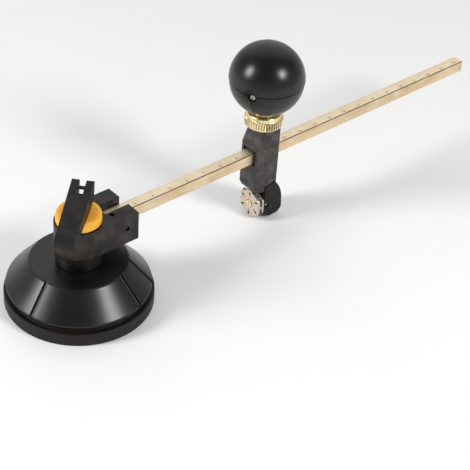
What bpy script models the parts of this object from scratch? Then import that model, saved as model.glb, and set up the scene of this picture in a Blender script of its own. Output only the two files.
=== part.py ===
"""Circle cutter for glass: a suction base, a swivelling scale bar and a sliding six wheel cutting head.

The scale bar runs along +X and the near side is -Y. Lengths are in metres. Heights are counted from
the surface that the tool stands on, and places along the bar from the axis that the bar swivels about.
The root empty then moves the whole tool so that the origin lies under the middle of its outline.
"""

import math

import bmesh
import bpy
from mathutils import Matrix

# Clearances shared by all pieces
SEAT_GAP = 0.0003
PIN_GAP = 0.00015
CUT_OVERRUN = 0.002
MERGE_DISTANCE = 0.00001

# Suction cup: a soft ring that stands on the glass
CUP_RADIUS = 0.0340
CUP_BAND_HEIGHT = 0.0064
CUP_EDGE_ROUND = 0.0006
CUP_NECK_SETBACK = 0.0028
CUP_NECK_WALL = 0.0027
CUP_NECK_HEIGHT = 0.0028
CUP_LEDGE_WIDTH = 0.0040
CUP_WEB_HEIGHT = 0.0050
CUP_LIP_WIDTH = 0.0055
CUP_HOLLOW_DEPTH = 0.0012

# Diaphragm that closes the cup's middle and is drawn up by the stem
DIAPHRAGM_EDGE_THICKNESS = 0.0030
DIAPHRAGM_DOME_HEIGHT = 0.0044
DIAPHRAGM_SLOPE_TOP = 0.0085
DIAPHRAGM_BOSS_RADIUS = 0.0075
DIAPHRAGM_BOSS_TOP = 0.0122
DIAPHRAGM_SKIN = 0.0007
PLATE_RADIUS = 0.0055
PLATE_THICKNESS = 0.0020

# Cone cover over the cup
COVER_OVERHANG = 0.0017
COVER_LIP_HEIGHT = 0.0007
COVER_CONE_HEIGHT = 0.0120
COVER_CONE_RUN = 0.0106
COVER_SHELF_ROUND = 0.0005
COVER_WALL = 0.0022
COVER_FLANGE_HEIGHT = 0.0020
GROOVE_WIDTH = 0.0020
GROOVE_DEPTH = 0.0008
GROOVE_HEADINGS_DEG = (-165.3, -71.5, -40.0, 14.6, 108.6)

# Neck post that the bar's hub turns on
NECK_RADIUS = 0.0106
NECK_COLLAR_HEIGHT = 0.0056
NECK_EDGE_ROUND = 0.0004
SPINDLE_RADIUS = 0.0074
NECK_TAIL_RADIUS = 0.0074
NECK_NUT_WALL = 0.0021
NECK_NUT_THICKNESS = 0.0022
NECK_TAIL_PROUD = 0.0003
THRUST_WASHER_RADIUS = 0.0109
THRUST_WASHER_THICKNESS = 0.0005

# Swivel hub with its fork, bush, pin and set screw
HUB_WALL = 0.0021
HUB_HEIGHT = 0.0143
HUB_EDGE_ROUND = 0.0005
HUB_FORK_END = 0.0246
BUSH_WALL = 0.0013
FORK_SLOT_SETBACK = 0.0007
BAR_PIN_BEYOND_SCREW = 0.0045
BAR_PIN_RADIUS = 0.0009
BAR_PIN_RECESS = 0.0006
HUB_SCREW_ALONG = 0.0140
HUB_SCREW_ASIDE = 0.0056
HUB_SCREW_RADIUS = 0.0010
HUB_SCREW_LENGTH = 0.0060
HUB_SCREW_RECESS = 0.0008

# Scale bar, square brass
BAR_SIDE = 0.0060
BAR_END = 0.2454
BAR_EDGE_ROUND = 0.0003
BAR_TOP_BELOW_HUB_TOP = 0.00345

# Cam seat, the yellow cap that holds the hub down and carries the lever
CAM_SEAT_RADIUS = 0.0103
CAM_SEAT_HEIGHT = 0.0047
CAM_SEAT_ROOF = 0.0014
CAM_SEAT_EDGE_ROUND = 0.0007

# Draw stem with its flat eye
STEM_RADIUS = 0.0025
STEM_TIP_RADIUS = 0.0018
STEM_TONGUE_THICKNESS = 0.0024
STEM_EYE_RADIUS = 0.0023
STEM_SHOULDER_BELOW_PIN = 0.0103

# Suction lever, a cam that lifts the stem by CAM_LIFT over a quarter turn
LEVER_HEADING_DEG = 42.0
LEVER_PIN_ABOVE_SEAT = 0.0054
CAM_LIFT = 0.0045
CAM_POINTS = 10
LEVER_FRONT_REACH = 0.0280
LEVER_FRONT_THICKNESS = 0.0043
LEVER_REAR_THICKNESS = 0.0094
LEVER_REAR_WIDTH = 0.0102
LEVER_FRONT_WIDTH = 0.0090
LEVER_PIN_RADIUS = 0.0012
LEVER_PIN_RECESS = 0.0003
LEVER_WINDOW_FRONT = 0.0013
LEVER_WINDOW_REAR = 0.0045
LEVER_NOTCH_START = 0.0062

# Carriage that slides on the bar
KNOB_PLACE = 0.1068
CARRIAGE_LEFT = 0.0076
CARRIAGE_RIGHT = 0.0062
CARRIAGE_HALF_WIDTH = 0.0058
CARRIAGE_EDGE_ROUND = 0.0004
CARRIAGE_SHOULDER_ABOVE_BAR = 0.0031
CARRIAGE_TOP_ABOVE_BAR = 0.0128
CARRIAGE_TOP_LEFT = 0.0032
CARRIAGE_CHIN_BELOW_BAR = 0.0139
CARRIAGE_HOOD_SETBACK = 0.0016
CARRIAGE_HOOD_ABOVE_BROW = 0.0011
CARRIAGE_OPENING_ABOVE_BAR = 0.0004

# Foot lobe under the carriage
FOOT_SETBACK = 0.0064
FOOT_GROUND_GAP = 0.0009
FOOT_HALF_WIDTH = 0.0064
FOOT_HEEL_HEIGHT = 0.0050
FOOT_HEEL_RUN = 0.0030
FOOT_TOE_REACH = 0.0084
FOOT_TOE_HEIGHT = 0.0034
FOOT_BULGE = 0.0104
FOOT_BULGE_HEIGHT = 0.0060
FOOT_TOP_HEIGHT = 0.0205
FOOT_TOP_INSET = 0.0009
FOOT_TOP_SLOPE = 0.0013
FOOT_ROUND = 0.0014
FOOT_BACK_SHARES = ((1.0, 0.0), (0.88, 0.39), (0.48, 0.71))
BROW_GAP = 0.0004
FOOT_PIN_PLACE = 0.0006
FOOT_PIN_RADIUS = 0.0008
FOOT_PIN_WEB = 0.0007
FOOT_PIN_RECESS = 0.0005
FOOT_PIN_HOLE_RADIUS = 0.0013
FOOT_PIN_HOLE_DEPTH = 0.0012

# Turret with its six cutting wheels
TURRET_THICKNESS = 0.0037
TURRET_CORNER_BEYOND_AXLE = 0.0017
TURRET_FLAT_HALF_WIDTH = 0.0007
TURRET_SLIT_WIDTH = 0.0005
TURRET_SLIT_DEPTH = 0.0004
WHEEL_COUNT = 6
WHEEL_RADIUS = 0.0026
WHEEL_THICKNESS = 0.0010
WHEEL_SHOULDER_DROP = 0.0004
WHEEL_SPACING = 0.0004
WHEEL_SIDE_GAP = 0.0002
WHEEL_CORE_GAP = 0.0005
AXLE_RADIUS = 0.0005
TURRET_SCREW_RADIUS = 0.0012
TURRET_SCREW_HEAD_RADIUS = 0.0019
TURRET_SCREW_HEAD_HEIGHT = 0.0009
TURRET_SCREW_PROUD = 0.0004
TURRET_SCREW_REACH = 0.0070
TURRET_SLOT_CUT_WIDTH = 0.0006

# Clamp screw with its knurled head and pad
CLAMP_THREAD_RADIUS = 0.0029
CLAMP_HEAD_RADIUS = 0.0094
CLAMP_BAND_HEIGHT = 0.0043
CLAMP_FOOT_HEIGHT = 0.0004
CLAMP_COLLAR_SETBACK = 0.0011
CLAMP_COLLAR_HEIGHT = 0.0020
CLAMP_KNURLS = 44
CLAMP_KNURL_DEPTH = 0.0003
PAD_THICKNESS = 0.0012

# Knob that turns freely on its spindle
KNOB_RADIUS = 0.0179
KNOB_FLAT_RADIUS = 0.0070
KNOB_STEPS = 11
KNOB_WASHER_RADIUS = 0.0065
KNOB_WASHER_THICKNESS = 0.0007
KNOB_SPINDLE_RADIUS = 0.0020
KNOB_SPINDLE_DEPTH = 0.0060
KNOB_SPINDLE_HEAD_RADIUS = 0.0040
KNOB_SPINDLE_HEAD_HEIGHT = 0.0024
KNOB_SCREW_HEADING_DEG = -154.6
KNOB_SCREW_BELOW_PARTING = 0.0015
KNOB_SCREW_RADIUS = 0.0010
KNOB_SCREW_LENGTH = 0.0050
KNOB_SCREW_RECESS = 0.0005

# Steps of the turned pieces
STEPS_LARGE = 64
STEPS_MEDIUM = 40
STEPS_SMALL = 24
STEPS_TINY = 12

# Radii worked out from the sizes above
CUP_NECK_RADIUS = CUP_RADIUS - CUP_NECK_SETBACK
CUP_SEAT_INNER_RADIUS = CUP_NECK_RADIUS - CUP_NECK_WALL
CUP_MOUTH_RADIUS = CUP_SEAT_INNER_RADIUS - CUP_LEDGE_WIDTH
CUP_LIP_INNER_RADIUS = CUP_RADIUS - CUP_LIP_WIDTH
COVER_RIM_RADIUS = CUP_NECK_RADIUS + COVER_OVERHANG
COVER_SHELF_RADIUS = COVER_RIM_RADIUS - COVER_CONE_RUN
NECK_NUT_ACROSS_FLATS = (NECK_TAIL_RADIUS + NECK_NUT_WALL) * 2
BUSH_INNER_RADIUS = SPINDLE_RADIUS + SEAT_GAP
BUSH_OUTER_RADIUS = BUSH_INNER_RADIUS + BUSH_WALL
HUB_RADIUS = BUSH_OUTER_RADIUS + HUB_WALL
WHEEL_CIRCLE_RADIUS = (WHEEL_RADIUS + WHEEL_SPACING / 2) / math.sin(math.pi / WHEEL_COUNT)
TURRET_CORNER_RADIUS = WHEEL_CIRCLE_RADIUS + TURRET_CORNER_BEYOND_AXLE
TURRET_CORE_RADIUS = WHEEL_CIRCLE_RADIUS - WHEEL_RADIUS - WHEEL_CORE_GAP
TURRET_SLOT_WIDTH = WHEEL_THICKNESS + WHEEL_SIDE_GAP * 2
CLAMP_COLLAR_RADIUS = CLAMP_HEAD_RADIUS - CLAMP_COLLAR_SETBACK
KNOB_FLAT_TO_CENTRE = math.sqrt(KNOB_RADIUS ** 2 - KNOB_FLAT_RADIUS ** 2)

# Heights worked out from the sizes above
CUP_TOP = CUP_BAND_HEIGHT + CUP_NECK_HEIGHT
COVER_BASE = CUP_TOP + SEAT_GAP
COVER_LIP_TOP = COVER_BASE + COVER_LIP_HEIGHT
SHELF_TOP = COVER_LIP_TOP + COVER_CONE_HEIGHT
COVER_CEILING = SHELF_TOP - COVER_WALL
NECK_BASE = SHELF_TOP + SEAT_GAP
NECK_COLLAR_TOP = NECK_BASE + NECK_COLLAR_HEIGHT
THRUST_BASE = NECK_COLLAR_TOP + SEAT_GAP
THRUST_TOP = THRUST_BASE + THRUST_WASHER_THICKNESS
HUB_BASE = THRUST_TOP + SEAT_GAP
HUB_TOP = HUB_BASE + HUB_HEIGHT
BAR_TOP = HUB_TOP - BAR_TOP_BELOW_HUB_TOP
BAR_CENTRE = BAR_TOP - BAR_SIDE / 2
BAR_BASE = BAR_TOP - BAR_SIDE
CAM_SEAT_BASE = HUB_TOP + SEAT_GAP
CAM_SEAT_TOP = CAM_SEAT_BASE + CAM_SEAT_HEIGHT
CAM_SEAT_CEILING = CAM_SEAT_TOP - CAM_SEAT_ROOF
LEVER_BASE = CAM_SEAT_TOP + SEAT_GAP
LEVER_PIN_HEIGHT = LEVER_BASE + LEVER_PIN_ABOVE_SEAT
STEM_BORE_RADIUS = STEM_RADIUS + SEAT_GAP
CAM_RISE_PER_RADIAN = CAM_LIFT / math.radians(90)
LEVER_REAR_REACH = LEVER_PIN_ABOVE_SEAT + CAM_LIFT
PLATE_TOP = DIAPHRAGM_BOSS_TOP - DIAPHRAGM_SKIN - SEAT_GAP
PLATE_BASE = PLATE_TOP - PLATE_THICKNESS
TURRET_HEIGHT = WHEEL_CIRCLE_RADIUS + WHEEL_RADIUS
BROW_HEIGHT = TURRET_HEIGHT + TURRET_CORNER_RADIUS + BROW_GAP
CARRIAGE_TOP = BAR_TOP + CARRIAGE_TOP_ABOVE_BAR
CLAMP_HEAD_BASE = CARRIAGE_TOP + SEAT_GAP
CLAMP_HEAD_TOP = CLAMP_HEAD_BASE + CLAMP_FOOT_HEIGHT + CLAMP_BAND_HEIGHT + CLAMP_COLLAR_HEIGHT
KNOB_WASHER_BASE = CLAMP_HEAD_TOP + SEAT_GAP
KNOB_BASE = KNOB_WASHER_BASE + KNOB_WASHER_THICKNESS + SEAT_GAP
KNOB_CENTRE = KNOB_BASE + KNOB_FLAT_TO_CENTRE
KNOB_PARTING = KNOB_CENTRE

# Places along the bar
FORK_SLOT_INNER = HUB_RADIUS + FORK_SLOT_SETBACK
BAR_PIN_PLACE = HUB_SCREW_ALONG + BAR_PIN_BEYOND_SCREW
FOOT_FACE = KNOB_PLACE - CARRIAGE_LEFT + FOOT_SETBACK
TURRET_BACK = FOOT_FACE - SEAT_GAP
TURRET_FRONT = TURRET_BACK - TURRET_THICKNESS
WHEEL_PLACE = TURRET_FRONT + TURRET_THICKNESS / 2
OUTLINE_MIDDLE = (BAR_END - CUP_RADIUS) / 2


for old in list(bpy.data.objects):
    bpy.data.objects.remove(old, do_unlink=True)


def new_collection(name):
    made = bpy.data.collections.new(name)
    bpy.context.scene.collection.children.link(made)
    return made


PARTS = new_collection("circle_cutter")
CUTTERS = new_collection("cutters")
PLACE_OF = {}


def pivot(name, place, on=None):
    """An empty at a joint's axis that carries the pieces which move together."""
    empty = bpy.data.objects.new(name, None)
    PARTS.objects.link(empty)
    start = (-OUTLINE_MIDDLE, 0, 0)
    if on is not None:
        empty.parent = on
        start = (0, 0, 0)
    below = PLACE_OF[on.name] if on is not None else (0, 0, 0)
    empty.location = [s + a - b for s, a, b in zip(start, place, below)]
    empty.empty_display_size = CUP_RADIUS
    PLACE_OF[name] = place
    return empty


AT_AXIS = (0, 0, 0)
AT_PIN = (0, 0, LEVER_PIN_HEIGHT)
AT_KNOB = (KNOB_PLACE, 0, 0)
AT_TURRET = (WHEEL_PLACE, 0, TURRET_HEIGHT)
ALONG_X = (0, math.radians(90), 0)
ALONG_Y = (math.radians(-90), 0, 0)
SIDE_VIEW = (math.radians(90), 0, 0)
LEVER_TURN = (0, 0, math.radians(LEVER_HEADING_DEG))
LEVER_SIDE_VIEW = (math.radians(90), 0, math.radians(LEVER_HEADING_DEG))

BASE = pivot("base", AT_AXIS)
STEM = pivot("stem_slide", AT_AXIS, BASE)
LEVER = pivot("lever_axis", AT_PIN, STEM)
ARM = pivot("arm_axis", AT_AXIS, BASE)
CARRIAGE = pivot("carriage_slide", AT_KNOB, ARM)
CLAMP = pivot("clamp_axis", AT_KNOB, CARRIAGE)
KNOB = pivot("knob_axis", AT_KNOB, CLAMP)
TURRET = pivot("turret_axis", AT_TURRET, CARRIAGE)


def material(name, colour, roughness, metallic=0.0):
    made = bpy.data.materials.new(name)
    made.use_nodes = True
    shader = made.node_tree.nodes["Principled BSDF"]
    shader.inputs["Base Color"].default_value = (*colour, 1.0)
    shader.inputs["Roughness"].default_value = roughness
    shader.inputs["Metallic"].default_value = metallic
    made.diffuse_color = (*colour, 1.0)
    return made


RUBBER = material("soft_black_rubber", (0.020, 0.019, 0.018), 0.55)
GLOSS_PLASTIC = material("gloss_black_plastic", (0.012, 0.012, 0.014), 0.14)
MATTE_PLASTIC = material("matte_black_plastic", (0.035, 0.034, 0.036), 0.42)
COATED_METAL = material("black_coated_metal", (0.038, 0.036, 0.036), 0.46, 0.2)
YELLOW_PLASTIC = material("yellow_plastic", (0.86, 0.42, 0.05), 0.35)
PALE_BRASS = material("pale_brass", (0.86, 0.66, 0.40), 0.28, 1.0)
BRIGHT_BRASS = material("bright_brass", (0.90, 0.66, 0.28), 0.18, 1.0)
STEEL = material("bright_steel", (0.72, 0.68, 0.67), 0.25, 1.0)
HARD_METAL = material("hard_metal", (0.50, 0.48, 0.48), 0.22, 1.0)
DARK_STEEL = material("dark_steel", (0.10, 0.10, 0.11), 0.35, 0.9)


def put(obj, name, look, on, place, rotation=(0, 0, 0)):
    """Names an object and hangs it on its pivot. One without a look is a cutter or a joining shape."""
    obj.name = name
    obj.data.name = name
    for owner in list(obj.users_collection):
        owner.objects.unlink(obj)
    obj.parent = on
    obj.location = [a - b for a, b in zip(place, PLACE_OF[on.name])]
    obj.rotation_euler = rotation
    if look is None:
        CUTTERS.objects.link(obj)
        obj.hide_render = True
        obj.display_type = "WIRE"
    else:
        PARTS.objects.link(obj)
        obj.data.materials.clear()
        obj.data.materials.append(look)
    return obj


def smooth(mesh):
    mesh.shade_smooth()
    mesh.set_sharp_from_angle(angle=math.radians(35))


def as_mesh(obj):
    """Returns the evaluated mesh of an object on its own, and removes the object."""
    bpy.context.view_layer.update()
    depsgraph = bpy.context.evaluated_depsgraph_get()
    mesh = bpy.data.meshes.new_from_object(obj.evaluated_get(depsgraph))
    bpy.data.objects.remove(obj, do_unlink=True)
    shape = bmesh.new()
    shape.from_mesh(mesh)
    bmesh.ops.remove_doubles(shape, verts=shape.verts, dist=MERGE_DISTANCE)
    shape.to_mesh(mesh)
    shape.free()
    return mesh


def turned(name, profile, steps, look, on, place, rotation=(0, 0, 0), closed=False):
    """Spins a profile of (radius, height) points, listed down its outer side, about the local Z axis."""
    mesh = bpy.data.meshes.new(name)
    points = [(radius, 0, height) for radius, height in profile]
    edges = [(i, i + 1) for i in range(len(points) - 1)]
    if closed:
        edges.append((len(points) - 1, 0))
    mesh.from_pydata(points, edges, [])
    profile_object = bpy.data.objects.new(name, mesh)
    bpy.context.scene.collection.objects.link(profile_object)
    spin = profile_object.modifiers.new("Screw", "SCREW")
    spin.axis = "Z"
    spin.steps = steps
    spin.render_steps = steps
    spin.use_merge_vertices = True
    spin.merge_threshold = MERGE_DISTANCE
    solid = as_mesh(profile_object)
    smooth(solid)
    return put(bpy.data.objects.new(name, solid), name, look, on, place, rotation)


def ring(name, inner, outer, base, top, steps, look, on, place, rotation=(0, 0, 0)):
    profile = [(inner, top), (outer, top), (outer, base), (inner, base)]
    return turned(name, profile, steps, look, on, place, rotation, closed=True)


def rod(name, radius, base, top, steps, look, on, place, rotation=(0, 0, 0)):
    """A cylinder between two heights of its own axis."""
    bpy.ops.mesh.primitive_cylinder_add(vertices=steps, radius=radius, depth=top - base)
    obj = bpy.context.object
    obj.data.transform(Matrix.Translation((0, 0, (base + top) / 2)))
    smooth(obj.data)
    return put(obj, name, look, on, place, rotation)


def block(name, size, look, on, place, rotation=(0, 0, 0)):
    bpy.ops.mesh.primitive_cube_add(size=1)
    obj = bpy.context.object
    obj.data.transform(Matrix.Diagonal((*size, 1)))
    return put(obj, name, look, on, place, rotation)


def plate(name, points, half_thickness, look, on, place, rotation=(0, 0, 0)):
    """Extrudes a flat outline by half its thickness each way along the local Z axis."""
    curve = bpy.data.curves.new(name, "CURVE")
    curve.dimensions = "2D"
    curve.fill_mode = "BOTH"
    curve.extrude = half_thickness
    line = curve.splines.new("POLY")
    line.points.add(len(points) - 1)
    for point, (x, y) in zip(line.points, points):
        point.co = (x, y, 0, 1)
    line.use_cyclic_u = True
    outline_object = bpy.data.objects.new(name, curve)
    bpy.context.scene.collection.objects.link(outline_object)
    solid = as_mesh(outline_object)
    return put(bpy.data.objects.new(name, solid), name, look, on, place, rotation)


def boolean(obj, other, operation="DIFFERENCE"):
    change = obj.modifiers.new(operation.title() + " " + other.name, "BOOLEAN")
    change.operation = operation
    change.solver = "EXACT"
    change.object = other
    return obj


def bevel(obj, width, segments=1, angle_deg=40):
    change = obj.modifiers.new("Bevel", "BEVEL")
    change.width = width
    change.segments = segments
    change.limit_method = "ANGLE"
    change.angle_limit = math.radians(angle_deg)
    return obj


def circle_points(radius, count, start_deg=0.0, sweep_deg=360.0, ends=False):
    """Points on a circle, or on an arc with both of its ends."""
    parts = count - 1 if ends else count
    angles = [math.radians(start_deg + sweep_deg * i / parts) for i in range(count)]
    return [(radius * math.cos(angle), radius * math.sin(angle)) for angle in angles]


def suction_cup():
    turned("suction_cup", [
        (CUP_SEAT_INNER_RADIUS, CUP_TOP),
        (CUP_NECK_RADIUS, CUP_TOP),
        (CUP_NECK_RADIUS, CUP_BAND_HEIGHT),
        (CUP_RADIUS - CUP_EDGE_ROUND, CUP_BAND_HEIGHT),
        (CUP_RADIUS, CUP_BAND_HEIGHT - CUP_EDGE_ROUND),
        (CUP_RADIUS, CUP_EDGE_ROUND),
        (CUP_RADIUS - CUP_EDGE_ROUND, 0),
        (CUP_LIP_INNER_RADIUS, 0),
        (CUP_MOUTH_RADIUS, CUP_HOLLOW_DEPTH),
        (CUP_MOUTH_RADIUS, CUP_WEB_HEIGHT),
        (CUP_SEAT_INNER_RADIUS, CUP_WEB_HEIGHT),
    ], STEPS_LARGE, RUBBER, BASE, AT_AXIS, closed=True)


def cup_diaphragm():
    edge = CUP_MOUTH_RADIUS - SEAT_GAP
    edge_base = CUP_HOLLOW_DEPTH + SEAT_GAP
    hole = STEM_RADIUS + SEAT_GAP
    pocket = PLATE_RADIUS + SEAT_GAP
    turned("cup_diaphragm", [
        (0, PLATE_BASE - SEAT_GAP),
        (pocket, PLATE_BASE - SEAT_GAP),
        (pocket, PLATE_TOP + SEAT_GAP),
        (hole, PLATE_TOP + SEAT_GAP),
        (hole, DIAPHRAGM_BOSS_TOP),
        (DIAPHRAGM_BOSS_RADIUS, DIAPHRAGM_BOSS_TOP),
        (DIAPHRAGM_BOSS_RADIUS, DIAPHRAGM_SLOPE_TOP),
        (edge, edge_base + DIAPHRAGM_EDGE_THICKNESS),
        (edge, edge_base),
        (DIAPHRAGM_BOSS_RADIUS, DIAPHRAGM_DOME_HEIGHT),
        (0, DIAPHRAGM_DOME_HEIGHT),
    ], STEPS_MEDIUM, RUBBER, BASE, AT_AXIS)


def cover_radius(height):
    """Radius of the cone's outside at a height."""
    share = (height - COVER_LIP_TOP) / COVER_CONE_HEIGHT
    return COVER_RIM_RADIUS + (COVER_SHELF_RADIUS - COVER_RIM_RADIUS) * share


def cone_cover():
    run = COVER_RIM_RADIUS - COVER_SHELF_RADIUS
    slant = math.hypot(run, COVER_CONE_HEIGHT)
    side_wall = COVER_WALL * slant / COVER_CONE_HEIGHT
    flange_top = COVER_BASE + COVER_FLANGE_HEIGHT
    cover = turned("cone_cover", [
        (NECK_TAIL_RADIUS + SEAT_GAP, SHELF_TOP),
        (COVER_SHELF_RADIUS - COVER_SHELF_ROUND, SHELF_TOP),
        (cover_radius(SHELF_TOP - COVER_SHELF_ROUND), SHELF_TOP - COVER_SHELF_ROUND),
        (COVER_RIM_RADIUS, COVER_LIP_TOP),
        (COVER_RIM_RADIUS, COVER_BASE),
        (CUP_SEAT_INNER_RADIUS, COVER_BASE),
        (CUP_SEAT_INNER_RADIUS, flange_top),
        (cover_radius(flange_top) - side_wall, flange_top),
        (cover_radius(COVER_CEILING) - side_wall, COVER_CEILING),
        (NECK_TAIL_RADIUS + SEAT_GAP, COVER_CEILING),
    ], STEPS_LARGE, GLOSS_PLASTIC, BASE, AT_AXIS, closed=True)
    middle_radius = (COVER_RIM_RADIUS + COVER_SHELF_RADIUS) / 2
    middle_height = COVER_LIP_TOP + COVER_CONE_HEIGHT / 2
    tilt = math.atan2(COVER_CONE_HEIGHT, run)
    for number, heading in enumerate(GROOVE_HEADINGS_DEG, 1):
        angle = math.radians(heading)
        place = (middle_radius * math.cos(angle), middle_radius * math.sin(angle), middle_height)
        groove = block("groove_cutter_%d" % number, (slant + GROOVE_DEPTH, GROOVE_WIDTH, GROOVE_DEPTH * 2),
                       None, BASE, place, (0, tilt, angle))
        boolean(cover, groove)


def neck_post():
    edge = NECK_EDGE_ROUND
    nut_top = COVER_CEILING - SEAT_GAP
    nut_base = nut_top - NECK_NUT_THICKNESS
    tail_base = nut_base - NECK_TAIL_PROUD
    turned("neck_post", [
        (STEM_BORE_RADIUS, CAM_SEAT_CEILING - SEAT_GAP),
        (SPINDLE_RADIUS, CAM_SEAT_CEILING - SEAT_GAP),
        (SPINDLE_RADIUS, NECK_COLLAR_TOP),
        (NECK_RADIUS - edge, NECK_COLLAR_TOP),
        (NECK_RADIUS, NECK_COLLAR_TOP - edge),
        (NECK_RADIUS, NECK_BASE),
        (NECK_TAIL_RADIUS, NECK_BASE),
        (NECK_TAIL_RADIUS, tail_base),
        (STEM_BORE_RADIUS, tail_base),
    ], STEPS_MEDIUM, MATTE_PLASTIC, BASE, AT_AXIS, closed=True)
    corner = NECK_NUT_ACROSS_FLATS / 2 / math.cos(math.radians(30))
    nut = plate("neck_nut", circle_points(corner, 6), NECK_NUT_THICKNESS / 2, DARK_STEEL, BASE,
                (0, 0, (nut_base + nut_top) / 2))
    hole = rod("neck_nut_bore_cutter", NECK_TAIL_RADIUS + PIN_GAP, nut_base - CUT_OVERRUN,
               nut_top + CUT_OVERRUN, STEPS_MEDIUM, None, BASE, AT_AXIS)
    boolean(nut, hole)
    ring("thrust_washer", SPINDLE_RADIUS + SEAT_GAP, THRUST_WASHER_RADIUS, THRUST_BASE, THRUST_TOP,
         STEPS_MEDIUM, STEEL, BASE, AT_AXIS)


def cam_seat():
    edge = CAM_SEAT_EDGE_ROUND
    bend = circle_points(edge, 4, 90, -90, ends=True)
    corner = [(CAM_SEAT_RADIUS - edge + x, CAM_SEAT_TOP - edge + y) for x, y in bend]
    turned("cam_seat", [
        (STEM_BORE_RADIUS, CAM_SEAT_TOP),
        *corner,
        (CAM_SEAT_RADIUS, CAM_SEAT_BASE),
        (SPINDLE_RADIUS + SEAT_GAP, CAM_SEAT_BASE),
        (SPINDLE_RADIUS + SEAT_GAP, CAM_SEAT_CEILING),
        (STEM_BORE_RADIUS, CAM_SEAT_CEILING),
    ], STEPS_MEDIUM, YELLOW_PLASTIC, BASE, AT_AXIS, closed=True)


def draw_stem():
    shoulder = LEVER_PIN_HEIGHT - STEM_SHOULDER_BELOW_PIN
    stem = turned("draw_stem", [
        (0, shoulder),
        (STEM_RADIUS, shoulder),
        (STEM_RADIUS, PLATE_TOP + SEAT_GAP),
        (STEM_TIP_RADIUS, PLATE_TOP + SEAT_GAP),
        (STEM_TIP_RADIUS, PLATE_BASE),
        (0, PLATE_BASE),
    ], STEPS_SMALL, STEEL, STEM, AT_AXIS)
    root = -STEM_SHOULDER_BELOW_PIN - STEM_EYE_RADIUS
    outline = circle_points(STEM_EYE_RADIUS, 13, 0.0, 180.0, ends=True)
    outline += [(-STEM_EYE_RADIUS, root), (STEM_EYE_RADIUS, root)]
    tongue = plate("stem_tongue_joiner", outline, STEM_TONGUE_THICKNESS / 2, None, STEM, AT_PIN,
                   LEVER_SIDE_VIEW)
    boolean(stem, tongue, "UNION")
    reach = STEM_TONGUE_THICKNESS / 2 + CUT_OVERRUN
    eye = rod("stem_eye_cutter", LEVER_PIN_RADIUS + PIN_GAP, -reach, reach, STEPS_SMALL, None, STEM, AT_PIN,
              LEVER_SIDE_VIEW)
    boolean(stem, eye)
    ring("stem_plate", STEM_TIP_RADIUS + PIN_GAP, PLATE_RADIUS, PLATE_BASE, PLATE_TOP, STEPS_SMALL, STEEL,
         STEM, AT_AXIS)


def suction_lever():
    """The lever lies along local X with its finger end at -X. Its heel is a curve whose distance below the
    pin grows evenly as the lever is raised, so the stem is drawn up evenly."""
    low = LEVER_PIN_ABOVE_SEAT
    rise = CAM_RISE_PER_RADIAN
    heel = []
    for step in range(CAM_POINTS + 1):
        turn = math.radians(90) * step / CAM_POINTS
        reach = low + rise * turn
        along, up = math.sin(turn), math.cos(turn)
        heel.append((reach * along + rise * up, rise * along - reach * up))
    side = heel + [
        (LEVER_REAR_REACH, LEVER_REAR_THICKNESS - low),
        (-LEVER_FRONT_REACH, LEVER_FRONT_THICKNESS - low),
        (-LEVER_FRONT_REACH, -low),
    ]
    lever = plate("suction_lever", side, LEVER_REAR_WIDTH / 2 + CUT_OVERRUN, MATTE_PLASTIC, LEVER, AT_PIN,
                  LEVER_SIDE_VIEW)
    rear = LEVER_REAR_REACH + CUT_OVERRUN
    front = -LEVER_FRONT_REACH - CUT_OVERRUN
    plan = [(rear, LEVER_REAR_WIDTH / 2), (front, LEVER_FRONT_WIDTH / 2), (front, -LEVER_FRONT_WIDTH / 2),
            (rear, -LEVER_REAR_WIDTH / 2)]
    waist = plate("lever_plan_joiner", plan, LEVER_REAR_THICKNESS, None, LEVER, AT_PIN, LEVER_TURN)
    boolean(lever, waist, "INTERSECT")

    slot_half = STEM_TONGUE_THICKNESS / 2 + SEAT_GAP
    eye = STEM_EYE_RADIUS + SEAT_GAP
    below = -low - CUT_OVERRUN
    above = LEVER_REAR_THICKNESS
    cuts = {
        "lever_slot_cutter": [(-eye, below), (rear, below), (rear, eye), (-eye, eye)],
        "lever_window_cutter": [
            (LEVER_WINDOW_FRONT, 0), (LEVER_WINDOW_REAR, 0), (LEVER_WINDOW_REAR, above),
            (LEVER_WINDOW_FRONT, above)],
        "lever_notch_cutter": [
            (LEVER_NOTCH_START, 0), (rear, 0), (rear, above), (LEVER_NOTCH_START, above)],
    }
    for name, outline in cuts.items():
        boolean(lever, plate(name, outline, slot_half, None, LEVER, AT_PIN, LEVER_SIDE_VIEW))
    reach = LEVER_REAR_WIDTH / 2 + CUT_OVERRUN
    bore = rod("lever_pin_cutter", LEVER_PIN_RADIUS + PIN_GAP, -reach, reach, STEPS_SMALL, None, LEVER,
               AT_PIN, LEVER_SIDE_VIEW)
    boolean(lever, bore)
    share = LEVER_FRONT_REACH / (LEVER_FRONT_REACH + LEVER_REAR_REACH)
    width_at_pin = LEVER_FRONT_WIDTH + (LEVER_REAR_WIDTH - LEVER_FRONT_WIDTH) * share
    pin = width_at_pin / 2 - LEVER_PIN_RECESS
    rod("lever_pin", LEVER_PIN_RADIUS, -pin, pin, STEPS_SMALL, STEEL, LEVER, AT_PIN, LEVER_SIDE_VIEW)


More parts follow.
